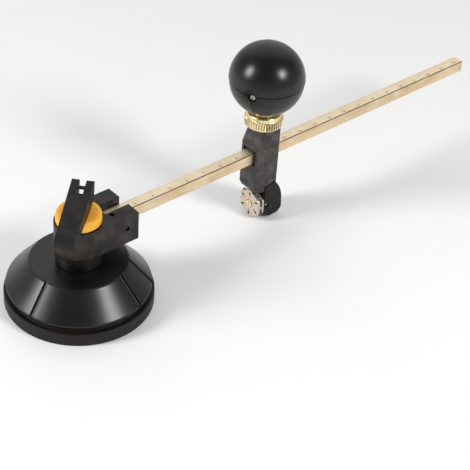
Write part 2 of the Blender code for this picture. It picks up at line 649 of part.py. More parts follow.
def swivel_hub():
    back = circle_points(HUB_RADIUS, 25, 90.0, 180.0, ends=True)
    outline = back + [(HUB_FORK_END, -HUB_RADIUS), (HUB_FORK_END, HUB_RADIUS)]
    hub = plate("swivel_hub", outline, HUB_HEIGHT / 2, COATED_METAL, ARM, (0, 0, (HUB_BASE + HUB_TOP) / 2))
    bevel(hub, HUB_EDGE_ROUND)
    bore = rod("hub_bore_cutter", BUSH_OUTER_RADIUS + PIN_GAP, HUB_BASE - CUT_OVERRUN,
               HUB_TOP + CUT_OVERRUN, STEPS_MEDIUM, None, ARM, AT_AXIS)
    boolean(hub, bore)
    slot_base = BAR_BASE - SEAT_GAP
    slot_top = HUB_TOP + CUT_OVERRUN
    slot_end = HUB_FORK_END + CUT_OVERRUN
    slot_size = (slot_end - FORK_SLOT_INNER, BAR_SIDE + SEAT_GAP * 2, slot_top - slot_base)
    slot_place = ((slot_end + FORK_SLOT_INNER) / 2, 0, (slot_top + slot_base) / 2)
    slot = block("fork_slot_cutter", slot_size, None, ARM, slot_place)
    boolean(hub, slot)
    pin_place = (BAR_PIN_PLACE, 0, BAR_CENTRE)
    reach = HUB_RADIUS + CUT_OVERRUN
    pin_hole = rod("bar_pin_cutter", BAR_PIN_RADIUS + PIN_GAP, -reach, reach, STEPS_TINY, None, ARM,
                   pin_place, ALONG_Y)
    boolean(hub, pin_hole)
    screw_top = HUB_TOP - HUB_SCREW_RECESS
    screw_base = screw_top - HUB_SCREW_LENGTH
    screw_place = (HUB_SCREW_ALONG, -HUB_SCREW_ASIDE, 0)
    screw_hole = rod("hub_screw_cutter", HUB_SCREW_RADIUS + PIN_GAP, screw_base - SEAT_GAP,
                     HUB_TOP + CUT_OVERRUN, STEPS_TINY, None, ARM, screw_place)
    boolean(hub, screw_hole)
    ring("hub_bush", BUSH_INNER_RADIUS, BUSH_OUTER_RADIUS, HUB_BASE, HUB_TOP, STEPS_MEDIUM, BRIGHT_BRASS,
         ARM, AT_AXIS)
    half = HUB_RADIUS - BAR_PIN_RECESS
    rod("bar_pin", BAR_PIN_RADIUS, -half, half, STEPS_TINY, DARK_STEEL, ARM, pin_place, ALONG_Y)
    rod("hub_set_screw", HUB_SCREW_RADIUS, screw_base, screw_top, STEPS_TINY, DARK_STEEL, ARM, screw_place)

    bar_start = FORK_SLOT_INNER + SEAT_GAP
    bar = block("scale_bar", (BAR_END - bar_start, BAR_SIDE, BAR_SIDE), PALE_BRASS, ARM,
                ((BAR_END + bar_start) / 2, 0, BAR_CENTRE))
    bevel(bar, BAR_EDGE_ROUND)
    boolean(bar, pin_hole)


def carriage_body():
    """The side view is drawn in the plane of X and Z, counted from the knob's axis and the ground."""
    chin = BAR_BASE - CARRIAGE_CHIN_BELOW_BAR
    face = FOOT_FACE - KNOB_PLACE
    body = plate("carriage_body", [
        (-CARRIAGE_LEFT, chin),
        (CARRIAGE_HOOD_SETBACK - CARRIAGE_LEFT, BROW_HEIGHT + CARRIAGE_HOOD_ABOVE_BROW),
        (face, BROW_HEIGHT + CARRIAGE_HOOD_ABOVE_BROW),
        (face, BROW_HEIGHT),
        (CARRIAGE_RIGHT, BROW_HEIGHT),
        (CARRIAGE_RIGHT, CARRIAGE_TOP),
        (-CARRIAGE_TOP_LEFT, CARRIAGE_TOP),
        (-CARRIAGE_LEFT, BAR_TOP + CARRIAGE_SHOULDER_ABOVE_BAR),
    ], CARRIAGE_HALF_WIDTH, COATED_METAL, CARRIAGE, AT_KNOB, SIDE_VIEW)
    bevel(body, CARRIAGE_EDGE_ROUND)

    reach = FOOT_BULGE - CARRIAGE_RIGHT
    rise = FOOT_TOP_HEIGHT - FOOT_BULGE_HEIGHT
    back = [(CARRIAGE_RIGHT + reach * across, FOOT_BULGE_HEIGHT + rise * up)
            for across, up in FOOT_BACK_SHARES]
    foot = plate("foot_joiner", [
        (face, FOOT_HEEL_HEIGHT),
        (face + FOOT_HEEL_RUN, FOOT_GROUND_GAP),
        (FOOT_TOE_REACH, FOOT_GROUND_GAP),
        (FOOT_BULGE, FOOT_TOE_HEIGHT),
        *back,
        (CARRIAGE_RIGHT - FOOT_TOP_INSET, FOOT_TOP_HEIGHT),
        (face, FOOT_TOP_HEIGHT - FOOT_TOP_SLOPE),
    ], FOOT_HALF_WIDTH, None, CARRIAGE, AT_KNOB, SIDE_VIEW)
    bevel(foot, FOOT_ROUND, 2, 30)
    boolean(body, foot, "UNION")

    opening_base = BAR_BASE - SEAT_GAP
    opening_top = BAR_TOP + CARRIAGE_OPENING_ABOVE_BAR
    opening_length = CARRIAGE_LEFT + CARRIAGE_RIGHT + CUT_OVERRUN * 2
    opening_size = (opening_length, BAR_SIDE + SEAT_GAP * 2, opening_top - opening_base)
    opening_middle = KNOB_PLACE + (CARRIAGE_RIGHT - CARRIAGE_LEFT) / 2
    opening_place = (opening_middle, 0, (opening_top + opening_base) / 2)
    opening = block("bar_opening_cutter", opening_size, None, CARRIAGE, opening_place)
    boolean(body, opening)
    clamp_bore = rod("clamp_bore_cutter", CLAMP_THREAD_RADIUS + SEAT_GAP, BAR_CENTRE,
                     CARRIAGE_TOP + CUT_OVERRUN, STEPS_SMALL, None, CARRIAGE, AT_KNOB)
    boolean(body, clamp_bore)

    screw_place = (FOOT_FACE, 0, TURRET_HEIGHT)
    screw_bore = rod("turret_screw_bore_cutter", TURRET_SCREW_RADIUS + PIN_GAP, -CUT_OVERRUN,
                     TURRET_SCREW_REACH + SEAT_GAP, STEPS_TINY, None, CARRIAGE, screw_place, ALONG_X)
    boolean(body, screw_bore)

    pin_place = (KNOB_PLACE + FOOT_PIN_PLACE, 0, TURRET_HEIGHT)
    pin_outer = -FOOT_HALF_WIDTH + FOOT_PIN_RECESS
    pin_inner = -TURRET_SCREW_RADIUS - FOOT_PIN_WEB
    step = -FOOT_HALF_WIDTH + FOOT_PIN_HOLE_DEPTH
    pin_bore = turned("foot_pin_cutter", [
        (0, pin_inner + PIN_GAP),
        (FOOT_PIN_RADIUS + PIN_GAP, pin_inner + PIN_GAP),
        (FOOT_PIN_RADIUS + PIN_GAP, step),
        (FOOT_PIN_HOLE_RADIUS, step),
        (FOOT_PIN_HOLE_RADIUS, -FOOT_HALF_WIDTH - CUT_OVERRUN),
        (0, -FOOT_HALF_WIDTH - CUT_OVERRUN),
    ], STEPS_TINY, None, CARRIAGE, pin_place, ALONG_Y)
    boolean(body, pin_bore)
    rod("foot_pin", FOOT_PIN_RADIUS, pin_outer, pin_inner, STEPS_TINY, STEEL, CARRIAGE, pin_place, ALONG_Y)


def turret():
    """The turret and its wheels turn about local Z, which lies along the bar."""
    half = TURRET_THICKNESS / 2
    corners = []
    for number in range(WHEEL_COUNT):
        angle = math.radians(360.0 / WHEEL_COUNT * number)
        along, across = math.cos(angle), math.sin(angle)
        for half_flat in (-TURRET_FLAT_HALF_WIDTH, TURRET_FLAT_HALF_WIDTH):
            corners.append((TURRET_CORNER_RADIUS * along - half_flat * across,
                            TURRET_CORNER_RADIUS * across + half_flat * along))
    body = plate("turret_body", corners, half, STEEL, TURRET, AT_TURRET, ALONG_X)
    head_front = -half - TURRET_SCREW_PROUD
    head_back = head_front + TURRET_SCREW_HEAD_HEIGHT
    bore_radius = TURRET_SCREW_RADIUS + SEAT_GAP
    sink_radius = TURRET_SCREW_HEAD_RADIUS + PIN_GAP
    bore = turned("turret_bore_cutter", [
        (0, half + CUT_OVERRUN),
        (bore_radius, half + CUT_OVERRUN),
        (bore_radius, head_back + PIN_GAP),
        (sink_radius, head_back + PIN_GAP),
        (sink_radius, -half - CUT_OVERRUN),
        (0, -half - CUT_OVERRUN),
    ], STEPS_SMALL, None, TURRET, AT_TURRET, ALONG_X)
    boolean(body, bore)

    shank_end = half + SEAT_GAP + TURRET_SCREW_REACH
    screw = turned("turret_screw", [
        (0, shank_end),
        (TURRET_SCREW_RADIUS, shank_end),
        (TURRET_SCREW_RADIUS, head_back),
        (TURRET_SCREW_HEAD_RADIUS, head_back),
        (TURRET_SCREW_HEAD_RADIUS, head_front),
        (0, head_front),
    ], STEPS_SMALL, BRIGHT_BRASS, CARRIAGE, AT_TURRET, ALONG_X)
    slot_size = (TURRET_SCREW_PROUD * 2, TURRET_SLOT_CUT_WIDTH, TURRET_SCREW_HEAD_RADIUS * 2 + CUT_OVERRUN)
    slot_place = (WHEEL_PLACE + head_front, 0, TURRET_HEIGHT)
    slot = block("screw_slot_cutter", slot_size, None, CARRIAGE, slot_place)
    boolean(screw, slot)

    slit_start = WHEEL_CIRCLE_RADIUS + AXLE_RADIUS / 2
    slit_end = TURRET_CORNER_RADIUS + CUT_OVERRUN
    slit_size = (TURRET_SLIT_DEPTH * 2, slit_end - slit_start, TURRET_SLIT_WIDTH)
    slit_middle = (slit_start + slit_end) / 2
    shoulder = WHEEL_RADIUS - WHEEL_SHOULDER_DROP
    wheel_half = WHEEL_THICKNESS / 2
    wheel_bore = AXLE_RADIUS + PIN_GAP
    wheel = None
    for number in range(1, WHEEL_COUNT + 1):
        angle = math.radians(360.0 / WHEEL_COUNT * (number - 1) - 90.0)
        across, up = math.cos(angle), math.sin(angle)
        place = (WHEEL_PLACE, WHEEL_CIRCLE_RADIUS * across, TURRET_HEIGHT + WHEEL_CIRCLE_RADIUS * up)
        hole = rod("axle_cutter_%d" % number, AXLE_RADIUS + PIN_GAP, -half - CUT_OVERRUN,
                   half + CUT_OVERRUN, STEPS_TINY, None, TURRET, place, ALONG_X)
        boolean(body, hole)
        slit_place = (WHEEL_PLACE - half, slit_middle * across, TURRET_HEIGHT + slit_middle * up)
        slit = block("slit_cutter_%d" % number, slit_size, None, TURRET, slit_place, (angle, 0, 0))
        boolean(body, slit)
        rod("wheel_axle_%d" % number, AXLE_RADIUS, -half, half, STEPS_TINY, DARK_STEEL, TURRET, place,
            ALONG_X)
        name = "cutting_wheel_%d" % number
        if wheel is None:
            profile = [(wheel_bore, wheel_half), (shoulder, wheel_half), (WHEEL_RADIUS, 0),
                       (shoulder, -wheel_half), (wheel_bore, -wheel_half)]
            wheel = turned(name, profile, STEPS_SMALL, HARD_METAL, TURRET, place, ALONG_X, closed=True)
        else:
            put(wheel.copy(), name, HARD_METAL, TURRET, place, ALONG_X)
    slot_half = TURRET_SLOT_WIDTH / 2
    wheel_slot = ring("wheel_slot_cutter", TURRET_CORE_RADIUS, TURRET_CORNER_RADIUS + CUT_OVERRUN,
                      -slot_half, slot_half, STEPS_SMALL, None, TURRET, AT_TURRET, ALONG_X)
    boolean(body, wheel_slot)


def clamp_screw():
    band_base = CLAMP_HEAD_BASE + CLAMP_FOOT_HEIGHT
    band_top = band_base + CLAMP_BAND_HEIGHT
    root = CLAMP_HEAD_RADIUS - CLAMP_KNURL_DEPTH
    core = root - CLAMP_KNURL_DEPTH
    socket = KNOB_SPINDLE_RADIUS + PIN_GAP
    pad_base = BAR_TOP + SEAT_GAP
    pad_top = pad_base + PAD_THICKNESS
    socket_base = CLAMP_HEAD_TOP - KNOB_SPINDLE_DEPTH - SEAT_GAP
    screw = turned("clamp_screw", [
        (0, socket_base),
        (socket, socket_base),
        (socket, CLAMP_HEAD_TOP),
        (CLAMP_COLLAR_RADIUS, CLAMP_HEAD_TOP),
        (CLAMP_COLLAR_RADIUS, band_top - CLAMP_KNURL_DEPTH),
        (core, band_top - CLAMP_KNURL_DEPTH),
        (core, CLAMP_HEAD_BASE),
        (CLAMP_THREAD_RADIUS, CLAMP_HEAD_BASE),
        (CLAMP_THREAD_RADIUS, pad_top + SEAT_GAP),
        (0, pad_top + SEAT_GAP),
    ], STEPS_MEDIUM, BRIGHT_BRASS, CLAMP, AT_KNOB)
    teeth = []
    for number in range(CLAMP_KNURLS * 2):
        radius = CLAMP_HEAD_RADIUS if number % 2 else root
        angle = math.radians(180.0 / CLAMP_KNURLS * number)
        teeth.append((radius * math.cos(angle), radius * math.sin(angle)))
    band = plate("knurl_band_joiner", teeth, CLAMP_BAND_HEIGHT / 2, None, CLAMP,
                 (KNOB_PLACE, 0, (band_base + band_top) / 2))
    band_bore = rod("knurl_band_bore_cutter", CLAMP_THREAD_RADIUS + CLAMP_KNURL_DEPTH,
                    band_base - CUT_OVERRUN, band_top + CUT_OVERRUN, STEPS_SMALL, None, CLAMP, AT_KNOB)
    boolean(band, band_bore)
    boolean(screw, band, "UNION")
    rod("clamp_pad", CLAMP_THREAD_RADIUS, pad_base, pad_top, STEPS_SMALL, DARK_STEEL, CLAMP, AT_KNOB)


def ball_points(low, high):
    """Points down the knob's outside between two heights that are counted from its centre."""
    start = math.asin(high / KNOB_RADIUS)
    end = math.asin(low / KNOB_RADIUS)
    angles = [start + (end - start) * i / (KNOB_STEPS - 1) for i in range(KNOB_STEPS)]
    return [(KNOB_RADIUS * math.cos(angle), KNOB_CENTRE + KNOB_RADIUS * math.sin(angle))
            for angle in angles]


def knob():
    bore = KNOB_SPINDLE_RADIUS + SEAT_GAP
    pocket = KNOB_SPINDLE_HEAD_RADIUS + SEAT_GAP
    seam = SEAT_GAP / 2
    head_top = KNOB_PARTING - seam
    head_base = head_top - KNOB_SPINDLE_HEAD_HEIGHT
    pocket_base = head_base - SEAT_GAP
    lower = turned("knob_lower", [
        (pocket, KNOB_PARTING - seam),
        *ball_points(KNOB_BASE - KNOB_CENTRE, -seam),
        (bore, KNOB_BASE),
        (bore, pocket_base),
        (pocket, pocket_base),
    ], STEPS_MEDIUM, GLOSS_PLASTIC, KNOB, AT_KNOB, closed=True)
    upper_skin = ball_points(seam, KNOB_RADIUS)
    turned("knob_upper", [
        (0, KNOB_CENTRE + KNOB_RADIUS),
        *upper_skin[1:],
        (0, KNOB_PARTING + seam),
    ], STEPS_MEDIUM, GLOSS_PLASTIC, KNOB, AT_KNOB)
    turn = (0, math.radians(90), math.radians(KNOB_SCREW_HEADING_DEG))
    screw_height = KNOB_PARTING - KNOB_SCREW_BELOW_PARTING
    screw_place = (KNOB_PLACE, 0, screw_height)
    surface = math.sqrt(KNOB_RADIUS ** 2 - (screw_height - KNOB_CENTRE) ** 2)
    outer = surface - KNOB_SCREW_RECESS
    inner = outer - KNOB_SCREW_LENGTH
    screw_hole = rod("knob_screw_cutter", KNOB_SCREW_RADIUS + PIN_GAP, inner - PIN_GAP,
                     surface + CUT_OVERRUN, STEPS_TINY, None, KNOB, screw_place, turn)
    boolean(lower, screw_hole)
    rod("knob_screw", KNOB_SCREW_RADIUS, inner, outer, STEPS_TINY, STEEL, KNOB, screw_place, turn)

    washer_top = KNOB_WASHER_BASE + KNOB_WASHER_THICKNESS
    ring("knob_washer", KNOB_SPINDLE_RADIUS + PIN_GAP, KNOB_WASHER_RADIUS, KNOB_WASHER_BASE, washer_top,
         STEPS_MEDIUM, BRIGHT_BRASS, CLAMP, AT_KNOB)
    spindle_base = CLAMP_HEAD_TOP - KNOB_SPINDLE_DEPTH
    turned("knob_spindle", [
        (0, head_top - seam),
        (KNOB_SPINDLE_HEAD_RADIUS, head_top - seam),
        (KNOB_SPINDLE_HEAD_RADIUS, head_base),
        (KNOB_SPINDLE_RADIUS, head_base),
        (KNOB_SPINDLE_RADIUS, spindle_base),
        (0, spindle_base),
    ], STEPS_SMALL, STEEL, CLAMP, AT_KNOB)


suction_cup()
cup_diaphragm()
cone_cover()
neck_post()
cam_seat()
draw_stem()
suction_lever()
swivel_hub()
carriage_body()
turret()
clamp_screw()
knob()
bpy.context.view_layer.update()
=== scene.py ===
"""Circle cutter for glass: its finished look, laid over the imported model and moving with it."""

import math

import bmesh
import bpy
from mathutils import Matrix, Vector


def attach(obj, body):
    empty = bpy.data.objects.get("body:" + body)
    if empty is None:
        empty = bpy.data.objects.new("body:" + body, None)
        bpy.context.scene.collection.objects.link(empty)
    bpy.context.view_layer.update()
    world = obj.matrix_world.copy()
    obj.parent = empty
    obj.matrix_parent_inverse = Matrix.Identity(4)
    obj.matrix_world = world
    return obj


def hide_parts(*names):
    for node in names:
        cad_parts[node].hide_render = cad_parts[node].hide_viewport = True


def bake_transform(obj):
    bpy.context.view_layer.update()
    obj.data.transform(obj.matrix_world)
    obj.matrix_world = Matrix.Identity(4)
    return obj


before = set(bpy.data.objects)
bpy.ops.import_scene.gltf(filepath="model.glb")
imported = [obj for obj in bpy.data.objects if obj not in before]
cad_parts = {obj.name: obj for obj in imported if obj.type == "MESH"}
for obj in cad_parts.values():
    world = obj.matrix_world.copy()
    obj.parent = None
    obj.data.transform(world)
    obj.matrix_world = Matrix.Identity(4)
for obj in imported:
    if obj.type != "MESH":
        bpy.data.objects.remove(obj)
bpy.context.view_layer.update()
scene = bpy.context.scene
scene.view_settings.view_transform = "Standard"


# View of the tool: a long lens stands about 0.7 m away on the suction cup's side of the arm and looks down
# at it, tipped a little so that the arm climbs towards the upper right.
look_down = math.radians(37.655)
heading = math.radians(42.98)
tip = math.radians(4.101)
level = Vector((math.cos(heading), -math.sin(heading), 0))
rise = Vector((math.sin(look_down) * math.sin(heading), math.sin(look_down) * math.cos(heading),
               math.cos(look_down)))
ahead = Vector((math.cos(look_down) * math.sin(heading), math.cos(look_down) * math.cos(heading),
                -math.sin(look_down)))
rightward = math.cos(tip) * level + math.sin(tip) * rise
upward = math.cos(tip) * rise - math.sin(tip) * level
camera = bpy.data.objects.new("picture_camera", bpy.data.cameras.new("picture_camera"))
camera.data.lens = 114.894
camera.data.sensor_width = 36
camera.matrix_world = Matrix.Translation((-0.4099, -0.4270, 0.4425)) @ Matrix(
    (rightward, upward, -ahead)).transposed().to_4x4()
scene.collection.objects.link(camera)
scene.camera = camera


# Studio round the tool: a white laminate table, a white wall all round that darkens overhead, a wide lit
# sheet behind the arm and two small soft boxes, which give the ball knob and the cone their highlights.
def paint(code):
    """A hex colour such as C8A050 as linear red, green, blue and full alpha."""
    parts = [int(code[i:i + 2], 16) / 255 for i in (0, 2, 4)]
    return [*[part / 12.92 if part <= 0.04045 else ((part + 0.055) / 1.055) ** 2.4 for part in parts], 1.0]


def add(tree, kind, settings=None, links=None):
    """Adds a node. Settings name its properties, its sockets or its ramp's stops; links name its sockets."""
    made = tree.nodes.new(kind)
    for name, value in (settings or {}).items():
        if name == "stops":
            ramp = made.color_ramp
            while len(ramp.elements) < len(value):
                ramp.elements.new(0.5)
            for element, (place, code) in zip(ramp.elements, value):
                element.position = place
                element.color = paint(code)
        elif isinstance(name, str) and hasattr(made, name):
            setattr(made, name, value)
        else:
            made.inputs[name].default_value = value
    for name, source in (links or {}).items():
        tree.links.new(source, made.inputs[name])
    return made


def blank(name):
    """A new material with an empty node tree, and that tree."""
    made = bpy.data.materials.new(name)
    made.use_nodes = True
    made.node_tree.nodes.clear()
    return made, made.node_tree


laminate, tree = blank("white_laminate_table")  # almost white, matt, with faint wide clouding
spot = add(tree, "ShaderNodeTexCoord")
cloud = add(tree, "ShaderNodeTexNoise", {"Scale": 1 / 0.150, "Detail": 3.0},
            {"Vector": spot.outputs["Object"]})
tone = add(tree, "ShaderNodeValToRGB", {"stops": [(0.3, "F8F8F8"), (0.7, "FAFAFA")]}, {0: cloud.outputs[0]})
top = add(tree, "ShaderNodeBsdfPrincipled", {"Roughness": 0.6, "IOR": 1.45, "Specular IOR Level": 0.1},
          {"Base Color": tone.outputs[0]})
add(tree, "ShaderNodeOutputMaterial", None, {0: top.outputs[0]})
shape = bmesh.new()
bmesh.ops.create_grid(shape, x_segments=8, y_segments=8, size=4.0)
table_mesh = bpy.data.meshes.new("table_top")
shape.to_mesh(table_mesh)
shape.free()
table_top = bpy.data.objects.new("table_top", table_mesh)
scene.collection.objects.link(table_top)
table_top.data.materials.append(laminate)

surround = bpy.data.worlds.new("white_surround")
surround.use_nodes = True
tree = surround.node_tree
tree.nodes.clear()
spot = add(tree, "ShaderNodeTexCoord")
height = add(tree, "ShaderNodeSeparateXYZ", None, {0: spot.outputs["Generated"]})
wall = add(tree, "ShaderNodeMapRange", {"interpolation_type": "SMOOTHSTEP", "From Min": 0.50,
                                        "From Max": 0.08, "To Min": 0.22, "To Max": 0.57},
           {0: height.outputs["Z"]})
toward = add(tree, "ShaderNodeVectorMath", {"operation": "DOT_PRODUCT", 1: (0.54, 0.58, 0.61)},
             {0: spot.outputs["Generated"]})
sheet = add(tree, "ShaderNodeMapRange", {"interpolation_type": "SMOOTHSTEP", "From Min": 0.40,
                                         "From Max": 0.97, "To Min": 0.0, "To Max": 0.89},
            {0: toward.outputs["Value"]})
brighter = add(tree, "ShaderNodeMath", {"operation": "MAXIMUM"}, {0: wall.outputs[0], 1: sheet.outputs[0]})
glow = add(tree, "ShaderNodeBackground", {"Strength": 1.0}, {"Color": brighter.outputs[0]})
add(tree, "ShaderNodeOutputWorld", None, {0: glow.outputs[0]})
scene.world = surround

BOX_DISTANCE = 1.1
for name, way, wide, tall, power in (
        ("left_soft_box", (-0.801, 0.317, 0.509), 0.30, 0.42, 7.0),
        ("front_soft_box", (0.187, -0.794, 0.578), 0.30, 0.30, 6.2)):
    lamp = bpy.data.lights.new(name, "AREA")
    lamp.shape = "RECTANGLE"
    lamp.size = wide
    lamp.size_y = tall
    lamp.energy = power
    stand = bpy.data.objects.new(name, lamp)
    direction = Vector(way).normalized()
    stand.location = Vector((0, 0, 0.05)) + direction * BOX_DISTANCE
    stand.rotation_euler = direction.to_track_quat("Z", "Y").to_euler()
    stand.visible_camera = False
    scene.collection.objects.link(stand)


# Suction cup: a ring of black nitrile rubber, moulded in one shot. Its upright band shows all round, and
# its soft lip and the membrane inside it grip the glass.
SWIVEL = -0.1057
AT_SWIVEL = Matrix.Translation((SWIVEL, 0, 0))


def rounded(corners):
    """Points of an outline given as (across, up, rounding), each corner eased by its rounding."""
    points = []
    for i, (across, up, ease) in enumerate(corners):
        here = Vector((across, up))
        if ease == 0:
            points.append(here)
            continue
        ends = []
        for other in (corners[i - 1], corners[(i + 1) % len(corners)]):
            way = Vector(other[:2]) - here
            ends.append(here + way * min(ease / way.length, 0.5))
        for step in range(6):
            share = step / 5
            points.append(ends[0] * (1 - share) ** 2 + here * 2 * share * (1 - share) + ends[1] * share ** 2)
    return points


def piece(name, shape, look, place):
    """Makes an object of a bmesh, set at its place in the tool."""
    bmesh.ops.remove_doubles(shape, verts=shape.verts, dist=0.000002)
    bmesh.ops.dissolve_degenerate(shape, edges=shape.edges, dist=0.000001)
    bmesh.ops.recalc_face_normals(shape, faces=shape.faces)
    mesh = bpy.data.meshes.new(name)
    shape.to_mesh(mesh)
    shape.free()
    mesh.transform(place)
    made = bpy.data.objects.new(name, mesh)
    made.data.materials.append(look)
    scene.collection.objects.link(made)
    return made


def turned(name, corners, look, place, steps=144):
    """Turns an outline of (radius, height, rounding) corners about the upright axis of its place."""
    shape = bmesh.new()
    points = [shape.verts.new((across, 0, up)) for across, up in rounded(corners)]
    for i, point in enumerate(points):
        following = points[(i + 1) % len(points)]
        if point.co.x > 0 or following.co.x > 0:
            shape.edges.new((point, following))
    bmesh.ops.spin(shape, geom=shape.verts[:] + shape.edges[:], cent=(0, 0, 0), axis=(0, 0, 1),
                   angle=math.tau, steps=steps)
    return piece(name, shape, look, place)


def shade(target):
    """Smooth shading that stops at sharp edges and keeps flat faces flat."""
    target.data.shade_smooth()
    target.data.set_sharp_from_angle(angle=math.radians(38))
    flats = target.modifiers.new("Flat faces", "WEIGHTED_NORMAL")
    flats.keep_sharp = True


# Dull, brownish black, a little chalky from handling. Its pores are drawn coarse enough to show.
nitrile, tree = blank("moulded_nitrile_rubber")
spot = add(tree, "ShaderNodeTexCoord")
bloom = add(tree, "ShaderNodeTexNoise", {"Scale": 1 / 0.007, "Detail": 5.0, "Roughness": 0.6},
            {"Vector": spot.outputs["Object"]})
tone = add(tree, "ShaderNodeValToRGB", {"stops": [(0.34, "0F0D0C"), (0.55, "191614"), (0.72, "292522")]},
           {0: bloom.outputs[0]})
grain = add(tree, "ShaderNodeTexNoise", {"Scale": 1 / 0.0004, "Detail": 2.0},
            {"Vector": spot.outputs["Object"]})
pores = add(tree, "ShaderNodeBump", {"Strength": 0.25, "Distance": 0.00005}, {"Height": grain.outputs[0]})
dull = add(tree, "ShaderNodeMapRange", {"To Min": 0.46, "To Max": 0.62}, {0: bloom.outputs[0]})
skin = add(tree, "ShaderNodeBsdfPrincipled", {"IOR": 1.52, "Specular IOR Level": 0.28},
           {"Base Color": tone.outputs[0], "Roughness": dull.outputs[0], "Normal": pores.outputs[0]})
add(tree, "ShaderNodeOutputMaterial", None, {0: skin.outputs[0]})

cup_ring = turned("cup_ring", [
    (0.0285, 0.0092, 0), (0.0312, 0.0092, 0.0002), (0.0312, 0.0064, 0.0004), (0.0340, 0.0064, 0.0007),
    (0.0340, 0.0034, 0), (0.0340, 0.0, 0.0006), (0.0326, 0.0, 0.0003), (0.0318, 0.0004, 0.0003),
    (0.0304, 0.0002, 0.0003), (0.0285, 0.0, 0.0004), (0.0245, 0.0012, 0.0003), (0.0245, 0.0050, 0.0002),
    (0.0285, 0.0050, 0.0002)], nitrile, AT_SWIVEL)
shade(cup_ring)
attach(cup_ring, "base")
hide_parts("suction_cup")

membrane = turned("cup_membrane", [
    (0, 0.0089, 0), (0.0058, 0.0089, 0), (0.0058, 0.0115, 0), (0.0028, 0.0115, 0), (0.0028, 0.0122, 0),
    (0.0075, 0.0122, 0.0005), (0.0075, 0.0085, 0.0008), (0.0242, 0.0045, 0.0003), (0.0242, 0.0015, 0.0003),
    (0.0190, 0.0021, 0.0003), (0.0184, 0.0026, 0.0003), (0.0075, 0.0044, 0.0010), (0, 0.0044, 0)],
    nitrile, AT_SWIVEL)
shade(membrane)
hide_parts("cup_diaphragm")
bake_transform(membrane)


# Cone cover: one glossy black ABS moulding that sits on the rubber's neck and presses it flat. Five narrow
# grooves run down its flank, three of them on the side that faces the view.
RIM_RADIUS = 0.0329
RIM_TOP = 0.0102
SHELF_RADIUS = 0.0223
SHELF_TOP = 0.0222


def bake(target):
    """Turns a piece's modifiers into its mesh."""
    bpy.context.view_layer.update()
    mesh = bpy.data.meshes.new_from_object(target.evaluated_get(bpy.context.evaluated_depsgraph_get()))
    target.modifiers.clear()
    target.data = mesh


def combine(target, operation, *tools):
    """Cuts the tools out of a piece, or joins them to it, for good. Their finish stays on what they leave."""
    for tool in tools:
        step = target.modifiers.new(tool.name, "BOOLEAN")
        step.operation = operation
        step.material_mode = "TRANSFER"
        step.solver = "EXACT"
        step.object = tool
    bake(target)
    for tool in tools:
        bpy.data.objects.remove(tool, do_unlink=True)


def ease_edges(target, width, segments=3, least=30):
    """Rounds a piece's edges that turn by more than the least angle, for good."""
    ease = target.modifiers.new("Eased edges", "BEVEL")
    ease.width = width
    ease.segments = segments
    ease.limit_method = "ANGLE"
    ease.angle_limit = math.radians(least)
    ease.miter_outer = "MITER_ARC"
    bake(target)


def slab(name, outline, low, high, look, place):
    """Raises a flat outline of (across, up, rounding) corners from low to high along its place's own Z."""
    shape = bmesh.new()
    base = shape.faces.new([shape.verts.new((x, y, low)) for x, y in rounded(outline)])
    raised = bmesh.ops.extrude_face_region(shape, geom=[base])
    for part in raised["geom"]:
        if isinstance(part, bmesh.types.BMVert):
            part.co.z = high
    return piece(name, shape, look, place)


gloss, tree = blank("glossy_moulded_abs")  # near black, with broad soft highlights and faint flow marks
spot = add(tree, "ShaderNodeTexCoord")
flow = add(tree, "ShaderNodeTexNoise", {"Scale": 1 / 0.012, "Detail": 4.0, "Roughness": 0.55},
           {"Vector": spot.outputs["Object"]})
tone = add(tree, "ShaderNodeValToRGB", {"stops": [(0.35, "0A090B"), (0.70, "100F11")]}, {0: flow.outputs[0]})
shine = add(tree, "ShaderNodeMapRange", {"To Min": 0.26, "To Max": 0.38}, {0: flow.outputs[0]})
wave = add(tree, "ShaderNodeBump", {"Strength": 0.05, "Distance": 0.0001}, {"Height": flow.outputs[0]})
skin = add(tree, "ShaderNodeBsdfPrincipled", {"IOR": 1.5},
           {"Base Color": tone.outputs[0], "Roughness": shine.outputs[0], "Normal": wave.outputs[0]})
add(tree, "ShaderNodeOutputMaterial", None, {0: skin.outputs[0]})

dull_groove_painted_shade, tree = blank("dull_groove_abs_painted_shade")  # the same black left dull, and painted darker as painted shade, down in the grooves
spot = add(tree, "ShaderNodeTexCoord")
dust = add(tree, "ShaderNodeTexNoise", {"Scale": 1 / 0.002, "Detail": 4.0},
           {"Vector": spot.outputs["Object"]})
tone = add(tree, "ShaderNodeValToRGB", {"stops": [(0.35, "060606"), (0.75, "0C0B0B")]}, {0: dust.outputs[0]})
skin = add(tree, "ShaderNodeBsdfPrincipled", {"IOR": 1.5, "Roughness": 0.42, "Specular IOR Level": 0.4},
           {"Base Color": tone.outputs[0]})
add(tree, "ShaderNodeOutputMaterial", None, {0: skin.outputs[0]})

